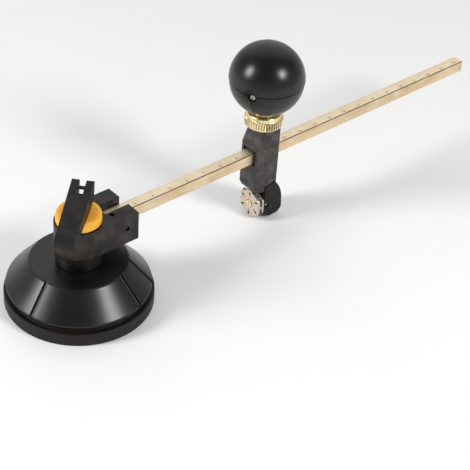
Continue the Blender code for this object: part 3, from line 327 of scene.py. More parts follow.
cone = turned("cone_cover_shell", [
    (0.0077, SHELF_TOP, 0), (SHELF_RADIUS, SHELF_TOP, 0.0006), (RIM_RADIUS, RIM_TOP, 0.0003),
    (RIM_RADIUS, 0.0095, 0.0002), (0.0285, 0.0095, 0), (0.0285, 0.0115, 0), (0.02885, 0.0115, 0),
    (0.0213, 0.0200, 0.0004), (0.0077, 0.0200, 0)], gloss, AT_SWIVEL, 192)
slope = math.atan2(SHELF_TOP - RIM_TOP, RIM_RADIUS - SHELF_RADIUS)
middle = Matrix.Translation(((RIM_RADIUS + SHELF_RADIUS) / 2, 0, (RIM_TOP + SHELF_TOP) / 2))
downhill = Matrix.Rotation(slope + math.radians(90), 4, "Y") @ Matrix.Rotation(math.radians(90), 4, "Z")
grooves = []
for number, groove_heading in enumerate((-165.3, -71.5, -40.0, 14.6, 108.6)):
    turn = Matrix.Rotation(math.radians(groove_heading), 4, "Z")
    grooves.append(slab("groove_%d" % number, [
        (-0.0011, 0.0020, 0), (-0.0011, -0.0010, 0.0008), (0.0011, -0.0010, 0.0008), (0.0011, 0.0020, 0)],
        -0.0083, 0.0083, dull_groove_painted_shade, AT_SWIVEL @ turn @ middle @ downhill))
# Painted shade: the grooves' faces keep the cutters' darker finish.
combine(cone, "DIFFERENCE", *grooves)
ease_edges(cone, 0.00028, 3)
shade(cone)
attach(cone, "base")
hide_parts("cone_cover")


# Neck: the turned collar that the hub rides on, satin black, with a fine line where the hub's washer sits.
# It is moulded of glass filled nylon and screwed up through the cone from below.
satin, tree = blank("satin_moulded_nylon")  # dark grey black with soft, wide highlights and a fine grain
spot = add(tree, "ShaderNodeTexCoord")
drift = add(tree, "ShaderNodeTexNoise", {"Scale": 1 / 0.005, "Detail": 5.0},
            {"Vector": spot.outputs["Object"]})
tone = add(tree, "ShaderNodeValToRGB", {"stops": [(0.40, "090808"), (0.61, "211D1C")]}, {0: drift.outputs[0]})
grain = add(tree, "ShaderNodeTexNoise", {"Scale": 1 / 0.0003, "Detail": 2.0},
            {"Vector": spot.outputs["Object"]})
texture = add(tree, "ShaderNodeBump", {"Strength": 0.2, "Distance": 0.00004}, {"Height": grain.outputs[0]})
shine = add(tree, "ShaderNodeMapRange", {"To Min": 0.34, "To Max": 0.50}, {0: drift.outputs[0]})
skin = add(tree, "ShaderNodeBsdfPrincipled", {"IOR": 1.53, "Specular IOR Level": 0.25},
           {"Base Color": tone.outputs[0], "Roughness": shine.outputs[0], "Normal": texture.outputs[0]})
add(tree, "ShaderNodeOutputMaterial", None, {0: skin.outputs[0]})

collar = turned("neck_collar", [
    (0.0028, 0.0468, 0), (0.0074, 0.0468, 0.0003), (0.0074, 0.0281, 0), (0.0106, 0.0281, 0.0004),
    (0.0106, 0.0268, 0), (0.0103, 0.0266, 0), (0.0103, 0.0263, 0), (0.0106, 0.0261, 0),
    (0.0106, 0.0225, 0.0002), (0.0074, 0.0225, 0), (0.0074, 0.0170, 0.0003), (0.0028, 0.0170, 0)],
    satin, AT_SWIVEL)
shade(collar)
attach(collar, "base")
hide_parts("neck_post")


# Fixings, most of them hidden: the neck's nut, the stem's plate, the lever's pin and the knob's spindle are
# zinc plated steel. The washer, the stem and the clamp's shoe are blackened steel, as pins and screws are.
def dress(name, look):
    """Gives a carried-over solid its finish."""
    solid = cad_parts[name]
    solid.data.materials.clear()
    solid.data.materials.append(look)


# Cool light grey metal with turning streaks, which are drawn coarse enough to show.
plated, tree = blank("zinc_plated_turned_steel")
spot = add(tree, "ShaderNodeTexCoord")
streak = add(tree, "ShaderNodeMapping", {"Scale": (1 / 0.0011, 1 / 0.0011, 1 / 0.0002)},
             {0: spot.outputs["Object"]})
marks = add(tree, "ShaderNodeTexNoise", {"Scale": 1.0, "Detail": 3.0}, {"Vector": streak.outputs[0]})
tone = add(tree, "ShaderNodeValToRGB", {"stops": [(0.3, "A9A5A4"), (0.7, "CDC8C6")]}, {0: marks.outputs[0]})
shine = add(tree, "ShaderNodeMapRange", {"To Min": 0.22, "To Max": 0.42}, {0: marks.outputs[0]})
skin = add(tree, "ShaderNodeBsdfPrincipled", {"Metallic": 1.0},
           {"Base Color": tone.outputs[0], "Roughness": shine.outputs[0]})
add(tree, "ShaderNodeOutputMaterial", None, {0: skin.outputs[0]})

blued, tree = blank("blackened_steel")  # dark grey metal with a low, uneven gloss
spot = add(tree, "ShaderNodeTexCoord")
patch = add(tree, "ShaderNodeTexNoise", {"Scale": 1 / 0.0007, "Detail": 3.0},
            {"Vector": spot.outputs["Object"]})
tone = add(tree, "ShaderNodeValToRGB", {"stops": [(0.3, "252526"), (0.7, "3B3A3C")]}, {0: patch.outputs[0]})
shine = add(tree, "ShaderNodeMapRange", {"To Min": 0.28, "To Max": 0.46}, {0: patch.outputs[0]})
skin = add(tree, "ShaderNodeBsdfPrincipled", {"Metallic": 1.0},
           {"Base Color": tone.outputs[0], "Roughness": shine.outputs[0]})
add(tree, "ShaderNodeOutputMaterial", None, {0: skin.outputs[0]})

for name, look in (("neck_nut", plated), ("thrust_washer", blued), ("draw_stem", blued),
                   ("stem_plate", plated), ("lever_pin", plated), ("clamp_pad", blued),
                   ("knob_spindle", plated)):
    dress(name, look)


# Cam seat: the yellow acetal cap on top of the neck, on which the lever's heel turns. It is moulded with
# a softly rolled edge, and its rim is painted a little paler as a painted highlight.
acetal, tree = blank("moulded_yellow_acetal")  # warm opaque yellow with a satin sheen and a rim painted paler as a highlight
spot = add(tree, "ShaderNodeTexCoord")
place = add(tree, "ShaderNodeVectorMath", {"operation": "SUBTRACT", 1: (SWIVEL, 0, 0)},
            {0: spot.outputs["Object"]})
flat = add(tree, "ShaderNodeVectorMath", {"operation": "MULTIPLY", 1: (1, 1, 0)}, {0: place.outputs[0]})
reach = add(tree, "ShaderNodeVectorMath", {"operation": "LENGTH"}, {0: flat.outputs[0]})
mottle = add(tree, "ShaderNodeTexNoise", {"Scale": 1 / 0.0024, "Detail": 4.0},
             {"Vector": spot.outputs["Object"]})
stray = add(tree, "ShaderNodeMath", {"operation": "MULTIPLY_ADD", 1: 0.0016},
            {0: mottle.outputs[0], 2: reach.outputs["Value"]})
# Painted highlight: a band at the rim is mixed towards a paler yellow, standing in for light catching the
# edge.
painted_rim_highlight = add(tree, "ShaderNodeMapRange", {"From Min": 0.0102, "From Max": 0.0112, "To Max": 0.20},
          {0: stray.outputs[0]})
body = add(tree, "ShaderNodeValToRGB", {"stops": [(0.32, "FBAA16"), (0.68, "FFBE36")]},
           {0: mottle.outputs[0]})
tone = add(tree, "ShaderNodeMix", {"data_type": "RGBA", 7: paint("F2C268")},
           {0: painted_rim_highlight.outputs[0], 6: body.outputs[0]})
skin = add(tree, "ShaderNodeBsdfPrincipled", {"IOR": 1.48, "Roughness": 0.40, "Subsurface Weight": 0.08,
                                              "Subsurface Radius": (0.001, 0.0005, 0.0002)},
           {"Base Color": tone.outputs[2]})
add(tree, "ShaderNodeOutputMaterial", None, {0: skin.outputs[0]})

cap = turned("yellow_cam_seat", [
    (0.0028, 0.0485, 0.0002), (0.0103, 0.0485, 0.0022), (0.0103, 0.0438, 0.0003), (0.0077, 0.0438, 0),
    (0.0077, 0.0471, 0), (0.0028, 0.0471, 0)], acetal, AT_SWIVEL)
shade(cap)
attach(cap, "base")
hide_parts("cam_seat")


# Hub and fork: a black coated zinc casting that turns on the neck. Its two prongs hold the bar, which is
# pinned through, and a small set screw sits in the near prong.
HUB_RADIUS = 0.0111
HUB_LOW = 0.0292
HUB_TOP = 0.0435
FORK_END = 0.0246
PRONG_GAP = 0.0033
BAR_MIDDLE = 0.03705
PIN_HOLE = 0.00105
ON_SIDE = Matrix.Rotation(math.radians(90), 4, "X")
AT_PIN = Matrix.Translation((SWIVEL + 0.0185, 0, BAR_MIDDLE)) @ ON_SIDE
AT_SCREW = Matrix.Translation((SWIVEL + 0.0140, -0.0056, 0))


def bore(name, radius, low, high, place, steps=32):
    """A round cutting tool along the upright axis of its place."""
    return turned(name, [(0, low, 0), (0, high, 0), (radius, high, 0), (radius, low, 0)], blued, place, steps)


coated, tree = blank("black_coated_zinc")  # charcoal with a warm cast and a dull, slightly uneven sheen
spot = add(tree, "ShaderNodeTexCoord")
drift = add(tree, "ShaderNodeTexNoise", {"Scale": 1 / 0.006, "Detail": 6.0, "Roughness": 0.62},
            {"Vector": spot.outputs["Object"]})
tone = add(tree, "ShaderNodeValToRGB", {"stops": [(0.40, "110E0D"), (0.51, "211C1A"), (0.62, "362E2A")]},
           {0: drift.outputs[0]})
grain = add(tree, "ShaderNodeTexNoise", {"Scale": 1 / 0.0005, "Detail": 3.0},
            {"Vector": spot.outputs["Object"]})
coat = add(tree, "ShaderNodeBump", {"Strength": 0.3, "Distance": 0.00006}, {"Height": grain.outputs[0]})
shine = add(tree, "ShaderNodeMapRange", {"To Min": 0.36, "To Max": 0.54}, {0: drift.outputs[0]})
skin = add(tree, "ShaderNodeBsdfPrincipled", {"IOR": 1.5, "Specular IOR Level": 0.34},
           {"Base Color": tone.outputs[0], "Roughness": shine.outputs[0], "Normal": coat.outputs[0]})
add(tree, "ShaderNodeOutputMaterial", None, {0: skin.outputs[0]})

arc = []
for step in range(41):
    turn = math.radians(90 + 180 * step / 40)
    arc.append((HUB_RADIUS * math.cos(turn), HUB_RADIUS * math.sin(turn), 0))
hub = slab("hub_and_fork", [*arc, (FORK_END, -HUB_RADIUS, 0), (FORK_END, HUB_RADIUS, 0)], HUB_LOW, HUB_TOP,
           coated, AT_SWIVEL)
fork_slot = slab("fork_slot", [
    (0.0118, -PRONG_GAP, 0.0003), (0.0300, -PRONG_GAP, 0), (0.0300, PRONG_GAP, 0),
    (0.0118, PRONG_GAP, 0.0003)], 0.03375, 0.0500, coated, AT_SWIVEL)
combine(hub, "DIFFERENCE", fork_slot, bore("hub_bore", 0.00915, 0.0200, 0.0500, AT_SWIVEL, 96),
        bore("pin_hole", PIN_HOLE, -0.0140, 0.0140, AT_PIN),
        bore("screw_hole", 0.00115, 0.0360, 0.0500, AT_SCREW))
ease_edges(hub, 0.00035)
shade(hub)
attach(hub, "arm")
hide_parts("swivel_hub")

bush = turned("hub_bush_sleeve", [
    (0.0077, HUB_TOP, 0.0002), (0.0090, HUB_TOP, 0.0002), (0.0090, HUB_LOW, 0.0002),
    (0.0077, HUB_LOW, 0.0002)], blued, AT_SWIVEL, 96)
shade(bush)
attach(bush, "arm")
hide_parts("hub_bush")

bar_pin = turned("bar_cross_pin", [
    (0, -0.0105, 0), (0, 0.0105, 0), (0.0009, 0.0105, 0.0002), (0.0009, -0.0105, 0.0002)],
    blued, AT_PIN, 32)
shade(bar_pin)
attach(bar_pin, "arm")
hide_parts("bar_pin")

set_screw = turned("fork_set_screw", [
    (0, 0.0367, 0), (0, 0.0417, 0), (0.0005, 0.0417, 0), (0.0005, 0.0427, 0), (0.0010, 0.0427, 0.0002),
    (0.0010, 0.0367, 0)], blued, AT_SCREW, 32)
shade(set_screw)
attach(set_screw, "arm")
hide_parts("hub_set_screw")


# Scale bar: a 6 mm square bar of drawn brass, its edges broken by a narrow chamfer that is painted dark as a
# painted reflection. Thin millimetre lines and centimetre numbers, counted from the swivel, are marked dark
# on its top.
BAR_START = 0.0121
BAR_TIP = 0.2454
BAR_HALF = 0.0030

# Pale straw gold, satin and spotted, with faint scale lines on top; the top is painted lighter than the sides
# as painted light. The drawing streaks along the bar are drawn coarse enough to show.
brass, tree = blank("drawn_brass_with_scale")
spot = add(tree, "ShaderNodeTexCoord")
along = add(tree, "ShaderNodeMapping", {"Scale": (1 / 0.016, 1 / 0.0004, 1 / 0.0004)},
            {0: spot.outputs["Object"]})
drawn = add(tree, "ShaderNodeTexNoise", {"Scale": 1.0, "Detail": 4.0}, {"Vector": along.outputs[0]})
stain = add(tree, "ShaderNodeTexNoise", {"Scale": 1 / 0.009, "Detail": 6.0, "Roughness": 0.65},
            {"Vector": spot.outputs["Object"]})
warmth = add(tree, "ShaderNodeMix", {"data_type": "FLOAT", 0: 0.6},
             {2: drawn.outputs[0], 3: stain.outputs[0]})
# Painted light: the top face gets a lighter copy of the brass tone, and the sides get a darker one.
painted_lit_top_tone = add(tree, "ShaderNodeValToRGB", {"stops": [(0.36, "EFDAB4"), (0.52, "F9E9CC"), (0.66, "FFF6E2")]},
               {0: warmth.outputs[0]})
painted_shaded_side_tone = add(tree, "ShaderNodeValToRGB", {"stops": [(0.36, "DCBE94"), (0.52, "EDD6B2"), (0.66, "F8E8CC")]},
                {0: warmth.outputs[0]})
place = add(tree, "ShaderNodeSeparateXYZ", None, {0: spot.outputs["Object"]})
upper = add(tree, "ShaderNodeMath", {"operation": "GREATER_THAN", 1: BAR_MIDDLE + 0.00295},
            {0: place.outputs["Z"]})
metal = add(tree, "ShaderNodeMix", {"data_type": "RGBA"},
            {0: upper.outputs[0], 6: painted_shaded_side_tone.outputs[0], 7: painted_lit_top_tone.outputs[0]})
count = add(tree, "ShaderNodeMath", {"operation": "SUBTRACT", 1: SWIVEL}, {0: place.outputs["X"]})
lines = None
for pitch, start in ((0.001, 0.0014), (0.005, 0.0007), (0.010, 0.0)):
    share = add(tree, "ShaderNodeMath", {"operation": "PINGPONG", 1: pitch / 2}, {0: count.outputs[0]})
    thin = add(tree, "ShaderNodeMath", {"operation": "LESS_THAN", 1: 0.00009}, {0: share.outputs[0]})
    side = add(tree, "ShaderNodeMath", {"operation": "GREATER_THAN", 1: start}, {0: place.outputs["Y"]})
    mark = add(tree, "ShaderNodeMath", {"operation": "MULTIPLY"}, {0: thin.outputs[0], 1: side.outputs[0]})
    if lines is not None:
        mark = add(tree, "ShaderNodeMath", {"operation": "MAXIMUM"},
                   {0: lines.outputs[0], 1: mark.outputs[0]})
    lines = mark
on_top = add(tree, "ShaderNodeMath", {"operation": "MULTIPLY"}, {0: lines.outputs[0], 1: upper.outputs[0]})
faint = add(tree, "ShaderNodeMath", {"operation": "MULTIPLY", 1: 0.3}, {0: on_top.outputs[0]})
tone = add(tree, "ShaderNodeMix", {"data_type": "RGBA", 7: paint("5E4A30")},
           {0: faint.outputs[0], 6: metal.outputs[2]})
shine = add(tree, "ShaderNodeMapRange", {"To Min": 0.38, "To Max": 0.58}, {0: drawn.outputs[0]})
skin = add(tree, "ShaderNodeBsdfPrincipled", {"Metallic": 1.0},
           {"Base Color": tone.outputs[2], "Roughness": shine.outputs[0]})
add(tree, "ShaderNodeOutputMaterial", None, {0: skin.outputs[0]})

print_and_painted_shade, tree = blank("brass_print_and_painted_shade")  # dark brown and dull: the numbers' print, a painted dark reflection in the bar's chamfers and painted shade in the knurl's roots
spot = add(tree, "ShaderNodeTexCoord")
patch = add(tree, "ShaderNodeTexNoise", {"Scale": 1 / 0.004, "Detail": 3.0},
            {"Vector": spot.outputs["Object"]})
tone = add(tree, "ShaderNodeValToRGB", {"stops": [(0.3, "2E2212"), (0.7, "4C3B22")]}, {0: patch.outputs[0]})
skin = add(tree, "ShaderNodeBsdfPrincipled", {"IOR": 1.5, "Roughness": 0.6}, {"Base Color": tone.outputs[0]})
add(tree, "ShaderNodeOutputMaterial", None, {0: skin.outputs[0]})

FACE = BAR_HALF - 0.00033
corners = [(FACE, BAR_HALF), (-FACE, BAR_HALF), (-BAR_HALF, FACE), (-BAR_HALF, -FACE), (-FACE, -BAR_HALF),
           (FACE, -BAR_HALF), (BAR_HALF, -FACE), (BAR_HALF, FACE)]
shape = bmesh.new()
rings = []
for along_bar, share in ((BAR_START, 1.0), (BAR_TIP - 0.0009, 1.0), (BAR_TIP - 0.0003, 0.90),
                         (BAR_TIP, 0.76)):
    rings.append([shape.verts.new((along_bar, y * share, z * share)) for y, z in corners])
shape.faces.new(rings[0])
shape.faces.new(rings[-1][::-1])
for first, second in zip(rings, rings[1:]):
    for i in range(8):
        quad = shape.faces.new((first[i], first[(i + 1) % 8], second[(i + 1) % 8], second[i]))
        # Painted reflection: the chamfer faces take the dark second finish.
        quad.material_index = i % 2
bar = piece("brass_scale_bar", shape, brass, Matrix.Translation((SWIVEL, 0, BAR_MIDDLE)))
bar.data.materials.append(print_and_painted_shade)
combine(bar, "DIFFERENCE", bore("bar_pin_hole", PIN_HOLE, -0.0140, 0.0140, AT_PIN))
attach(bar, "arm")
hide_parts("scale_bar")

shape = bmesh.new()
for number in range(3, 25):
    letters = bpy.data.curves.new("centimetre_number", "FONT")
    letters.body = str(number)
    letters.size = 0.0022
    letters.align_x = "CENTER"
    letters.align_y = "CENTER"
    letters.resolution_u = 2
    letters.extrude = 0.00001
    holder = bpy.data.objects.new("centimetre_number", letters)
    scene.collection.objects.link(holder)
    bpy.context.view_layer.update()
    digits = bpy.data.meshes.new_from_object(holder.evaluated_get(bpy.context.evaluated_depsgraph_get()))
    digits.transform(Matrix.Translation((SWIVEL + number / 100, -0.0014, BAR_MIDDLE + BAR_HALF)))
    shape.from_mesh(digits)
    bpy.data.objects.remove(holder, do_unlink=True)
numbers = piece("scale_numbers", shape, print_and_painted_shade, Matrix.Identity(4))
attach(numbers, "arm")


# Suction lever: a black nylon lever over the cap, moulded in one piece. Its heel is a cam. A slot for the
# stem's eye runs up from below, opens on top in a window and notches the heel's end.
LEVER_SIDE = Matrix.Translation((SWIVEL, 0, 0.0542)) @ Matrix.Rotation(math.radians(42.0), 4, "Z") @ ON_SIDE
PIN_RISE = 0.0054
GAIN = 0.0045 / math.radians(90)  # how far the cam lifts the pin for each radian of turn
HEEL_END = 0.0099
FINGER_END = -0.0280
TAPER = 0.1176
heel = []
for step in range(19):
    turn = math.radians(90) * step / 18
    drop = PIN_RISE + GAIN * turn
    heel.append((drop * math.sin(turn) + GAIN * math.cos(turn), GAIN * math.sin(turn) - drop * math.cos(turn),
                 0))
lever = slab("cam_lever", [
    *heel, (HEEL_END, 0.0040, 0), (FINGER_END, -0.0011, 0), (FINGER_END, -PIN_RISE, 0)],
    -0.0051, 0.0051, satin, LEVER_SIDE)
for vert in lever.data.vertices:
    local = LEVER_SIDE.inverted() @ vert.co
    local.z *= 1.0 - TAPER * (HEEL_END - local.x) / (HEEL_END - FINGER_END)
    vert.co = LEVER_SIDE @ local
EYE = 0.00256
over_eye = []
for step in range(10):
    turn = math.radians(10 * step)
    over_eye.append((-EYE * math.sin(turn), EYE * math.cos(turn), 0))
lever_slot = slab("lever_slot", [
    *over_eye, (-EYE, -0.0080, 0), (0.0130, -0.0080, 0), (0.0130, 0.0090, 0), (0.0062, 0.0090, 0),
    (0.0062, EYE, 0), (0.0045, EYE, 0), (0.0045, 0.0090, 0), (0.0013, 0.0090, 0), (0.0013, EYE, 0)],
    -0.0015, 0.0015, satin, LEVER_SIDE)
combine(lever, "DIFFERENCE", lever_slot, bore("lever_pin_hole", 0.00135, -0.0080, 0.0080, LEVER_SIDE))
ease_edges(lever, 0.00025)
shade(lever)
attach(lever, "lever")
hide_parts("suction_lever")


# Carriage: a second coated zinc casting that slides on the bar. Its block has a square opening for the bar,
# with a wider mouth towards the cup, and a hood over the turret. Its foot swells out behind the turret and
# carries a bright pin on the near side.
KNOB_AXIS = 0.0011
TURRET_PLACE = -0.00225
TURRET_HEIGHT = 0.0082
AT_KNOB = Matrix.Translation((KNOB_AXIS, 0, 0))
AT_WHEELS = Matrix.Translation((TURRET_PLACE, 0, TURRET_HEIGHT))
ALONG_BAR = Matrix.Rotation(math.radians(90), 4, "Y")
AT_FOOT_PIN = Matrix.Translation((KNOB_AXIS + 0.0006, 0, TURRET_HEIGHT)) @ ON_SIDE


def swept(points, steps):
    """A smooth run through points, as outline corners."""
    run = []
    for i in range(len(points) - 1):
        a, b, c, d = [Vector(points[min(max(j, 0), len(points) - 1)]) for j in range(i - 1, i + 3)]
        for step in range(steps):
            t = step / steps
            at = 0.5 * ((2 * b) + (c - a) * t + (2 * a - 5 * b + 4 * c - d) * t * t
                        + (3 * b - a - 3 * c + d) * t ** 3)
            run.append((at.x, at.y, 0))
    return run + [(*points[-1], 0)]


lacquered, tree = blank("lacquered_sand_cast_zinc")  # greyer and grainier than the hub, with a low sheen
spot = add(tree, "ShaderNodeTexCoord")
drift = add(tree, "ShaderNodeTexNoise", {"Scale": 1 / 0.004, "Detail": 6.0, "Roughness": 0.65},
            {"Vector": spot.outputs["Object"]})
tone = add(tree, "ShaderNodeValToRGB", {"stops": [(0.40, "1F1B19"), (0.51, "34302E"), (0.62, "4C4540")]},
           {0: drift.outputs[0]})
sand = add(tree, "ShaderNodeTexNoise", {"Scale": 1 / 0.0006, "Detail": 3.0},
           {"Vector": spot.outputs["Object"]})
coat = add(tree, "ShaderNodeBump", {"Strength": 0.5, "Distance": 0.0001}, {"Height": sand.outputs[0]})
shine = add(tree, "ShaderNodeMapRange", {"To Min": 0.40, "To Max": 0.58}, {0: drift.outputs[0]})
skin = add(tree, "ShaderNodeBsdfPrincipled", {"IOR": 1.5, "Specular IOR Level": 0.45},
           {"Base Color": tone.outputs[0], "Roughness": shine.outputs[0], "Normal": coat.outputs[0]})
add(tree, "ShaderNodeOutputMaterial", None, {0: skin.outputs[0]})

painted_shade_coat, tree = blank("coated_zinc_with_painted_shade")  # the same coat, slicker, and painted darker as painted shade on the foot and in the bar opening
spot = add(tree, "ShaderNodeTexCoord")
shade_mottle = add(tree, "ShaderNodeTexNoise", {"Scale": 1 / 0.003, "Detail": 5.0},
           {"Vector": spot.outputs["Object"]})
tone = add(tree, "ShaderNodeValToRGB", {"stops": [(0.40, "080606"), (0.52, "120F0D"), (0.64, "241E1A")]},
           {0: shade_mottle.outputs[0]})
shine = add(tree, "ShaderNodeMapRange", {"To Min": 0.30, "To Max": 0.46}, {0: shade_mottle.outputs[0]})
grain = add(tree, "ShaderNodeTexNoise", {"Scale": 1 / 0.0005, "Detail": 3.0},
            {"Vector": spot.outputs["Object"]})
coat = add(tree, "ShaderNodeBump", {"Strength": 0.25, "Distance": 0.00006}, {"Height": grain.outputs[0]})
skin = add(tree, "ShaderNodeBsdfPrincipled", {"IOR": 1.47, "Specular IOR Level": 0.26},
           {"Base Color": tone.outputs[0], "Roughness": shine.outputs[0], "Normal": coat.outputs[0]})
add(tree, "ShaderNodeOutputMaterial", None, {0: skin.outputs[0]})

carriage = slab("carriage_block", [
    (-0.0076, 0.02015, 0), (-0.0060, 0.0170, 0), (-0.0012, 0.0170, 0), (-0.0012, 0.0159, 0),
    (0.0062, 0.0159, 0), (0.0062, 0.05285, 0), (-0.0032, 0.05285, 0), (-0.0076, 0.04315, 0)],
    -0.0058, 0.0058, lacquered, AT_KNOB @ ON_SIDE)
ease_edges(carriage, 0.00040, 3, 20)
# Painted shade: the foot takes the darker coat near the floor.
foot = slab("carriage_foot", [
    (-0.0012, 0.0050, 0.0010), (0.0018, 0.0009, 0.0014), (0.0084, 0.0009, 0.0018),
    *swept([(0.0104, 0.0034), (0.0104, 0.0060), (0.0099, 0.0116), (0.0082, 0.0163), (0.0053, 0.0205)], 5),
    (-0.0012, 0.0192, 0)], -0.0064, 0.0064, painted_shade_coat, AT_KNOB @ ON_SIDE)
ease_edges(foot, 0.0013, 4, 34)
combine(carriage, "UNION", foot)
# Painted shade: the opening and its mouth leave the darker coat on their walls.
opening = slab("bar_opening", [
    (-0.0120, 0.03375, 0), (0.0120, 0.03375, 0), (0.0120, 0.04045, 0), (-0.0120, 0.04045, 0)],
    -PRONG_GAP, PRONG_GAP, painted_shade_coat, AT_KNOB @ ON_SIDE)
mouth = slab("bar_opening_mouth", [
    (-0.0120, 0.0332, 0), (-0.0069, 0.0332, 0), (-0.0069, 0.0413, 0), (-0.0120, 0.0413, 0)],
    -0.0041, 0.0041, painted_shade_coat, AT_KNOB @ ON_SIDE)
combine(carriage, "DIFFERENCE", opening, mouth, bore("thread_bore", 0.0032, 0.0370, 0.0600, AT_KNOB, 48),
        bore("turret_bore", 0.00135, 0.0010, 0.0095, AT_WHEELS @ ALONG_BAR),
        bore("foot_pin_mouth", 0.0013, 0.0052, 0.0090, AT_FOOT_PIN),
        bore("foot_pin_seat", 0.00095, 0.00175, 0.0060, AT_FOOT_PIN))
shade(carriage)
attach(carriage, "carriage")
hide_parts("carriage_body")

foot_pin = turned("foot_dowel_pin", [
    (0, 0.0019, 0), (0, 0.0059, 0), (0.0008, 0.0059, 0.0003), (0.0008, 0.0019, 0)], plated, AT_FOOT_PIN, 32)
shade(foot_pin)
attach(foot_pin, "carriage")
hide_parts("foot_pin")


# Turret: a six sided disc of machined steel on a brass screw. Each corner is slotted for a cutting wheel on
# its own pin, and any wheel can be turned to the bottom.
HALF_TURRET = 0.00185
TURRET_CORNER = 0.0073
WHEEL_CIRCLE = 0.0056

# Bright, slightly rosy grey with faint lathe rings, which are drawn coarse enough to show.
machined, tree = blank("machined_turret_steel")
spot = add(tree, "ShaderNodeTexCoord")
place = add(tree, "ShaderNodeVectorMath", {"operation": "SUBTRACT", 1: (TURRET_PLACE, 0, TURRET_HEIGHT)},
            {0: spot.outputs["Object"]})
rings = add(tree, "ShaderNodeTexWave", {"wave_type": "RINGS", "rings_direction": "X", "Scale": 0.3 / 0.0004,
                                        "Distortion": 1.5, "Detail": 2.0}, {"Vector": place.outputs[0]})
patch = add(tree, "ShaderNodeTexNoise", {"Scale": 1 / 0.0014, "Detail": 3.0},
            {"Vector": spot.outputs["Object"]})
tone = add(tree, "ShaderNodeValToRGB", {"stops": [(0.30, "C6B9AC"), (0.70, "E4D8CA")]},
           {0: patch.outputs[0]})
lathe = add(tree, "ShaderNodeBump", {"Strength": 0.12, "Distance": 0.00003}, {"Height": rings.outputs[1]})
skin = add(tree, "ShaderNodeBsdfPrincipled", {"Metallic": 1.0, "Roughness": 0.38},
           {"Base Color": tone.outputs[0], "Normal": lathe.outputs[0]})
add(tree, "ShaderNodeOutputMaterial", None, {0: skin.outputs[0]})

corners = []
for number in range(6):
    turn = math.radians(60 * number)
    for flat in (-0.0007, 0.0007):
        corners.append((TURRET_CORNER * math.cos(turn) - flat * math.sin(turn),
                        TURRET_CORNER * math.sin(turn) + flat * math.cos(turn), 0.0002))
turret = slab("wheel_turret", corners, -HALF_TURRET, HALF_TURRET, machined, AT_WHEELS @ ALONG_BAR)
ease_edges(turret, 0.00022, 3, 50)
turret_cuts = [bore("turret_screw_hole", 0.0015, -0.0030, 0.0030, AT_WHEELS @ ALONG_BAR),
               bore("turret_screw_seat", 0.00205, -0.0030, -0.00120, AT_WHEELS @ ALONG_BAR, 48)]
for number in range(6):
    around = AT_WHEELS @ Matrix.Rotation(math.radians(60 * number - 90), 4, "X")
    turret_cuts.append(bore("wheel_pin_hole_%d" % number, 0.00065, -0.0030, 0.0030,
                            around @ Matrix.Translation((0, WHEEL_CIRCLE, 0)) @ ALONG_BAR, 24))
    turret_cuts.append(slab("corner_slit_%d" % number, [
        (-0.0004, 0.0034, 0), (0.0004, 0.0034, 0), (0.0004, 0.0066, 0), (-0.0004, 0.0066, 0)],
        -0.00025, 0.00025, machined, around @ Matrix.Translation((-HALF_TURRET, 0, 0))))
    turret_cuts.append(slab("wheel_slot_%d" % number, [
        (-0.0006, 0.0028, 0.0003), (0.0006, 0.0028, 0.0003), (0.0006, 0.0095, 0), (-0.0006, 0.0095, 0)],
        -0.0028, 0.0028, machined, around))
combine(turret, "DIFFERENCE", *turret_cuts)
shade(turret)
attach(turret, "turret")
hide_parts("turret_body")

carbide, tree = blank("ground_tungsten_carbide")  # dark silver, ground fine, bright along the cutting edge
spot = add(tree, "ShaderNodeTexCoord")
grit = add(tree, "ShaderNodeTexNoise", {"Scale": 1 / 0.00025, "Detail": 2.0},
           {"Vector": spot.outputs["Object"]})
tone = add(tree, "ShaderNodeValToRGB", {"stops": [(0.3, "4C4A4B"), (0.7, "686566")]}, {0: grit.outputs[0]})
skin = add(tree, "ShaderNodeBsdfPrincipled", {"Metallic": 1.0, "Roughness": 0.36},
           {"Base Color": tone.outputs[0]})
add(tree, "ShaderNodeOutputMaterial", None, {0: skin.outputs[0]})

for number in range(1, 7):
    dress("wheel_axle_%d" % number, blued)
    turn = math.radians(60 * (number - 1) - 90)
    at_wheel = Matrix.Translation((TURRET_PLACE, WHEEL_CIRCLE * math.cos(turn),
                                   TURRET_HEIGHT + WHEEL_CIRCLE * math.sin(turn)))
    wheel = turned("cutter_wheel_%d" % number, [
        (0.00065, 0.0004, 0), (0.0022, 0.0004, 0.0001), (0.0026, 0, 0), (0.0022, -0.0004, 0.0001),
        (0.00065, -0.0004, 0)], carbide, at_wheel @ ALONG_BAR, 64)
    shade(wheel)
    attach(wheel, "wheel_%d" % number)
    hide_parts("cutting_wheel_%d" % number)


# Clamp screw: turned brass with a straight knurled band, a plain collar and a shallow dish on top. It
# screws down on the bar, and the same brass makes the turret's slotted screw and the knob's washer.
POINTS_ROUND = 44 * 4  # four for each of the 44 teeth of the knurl

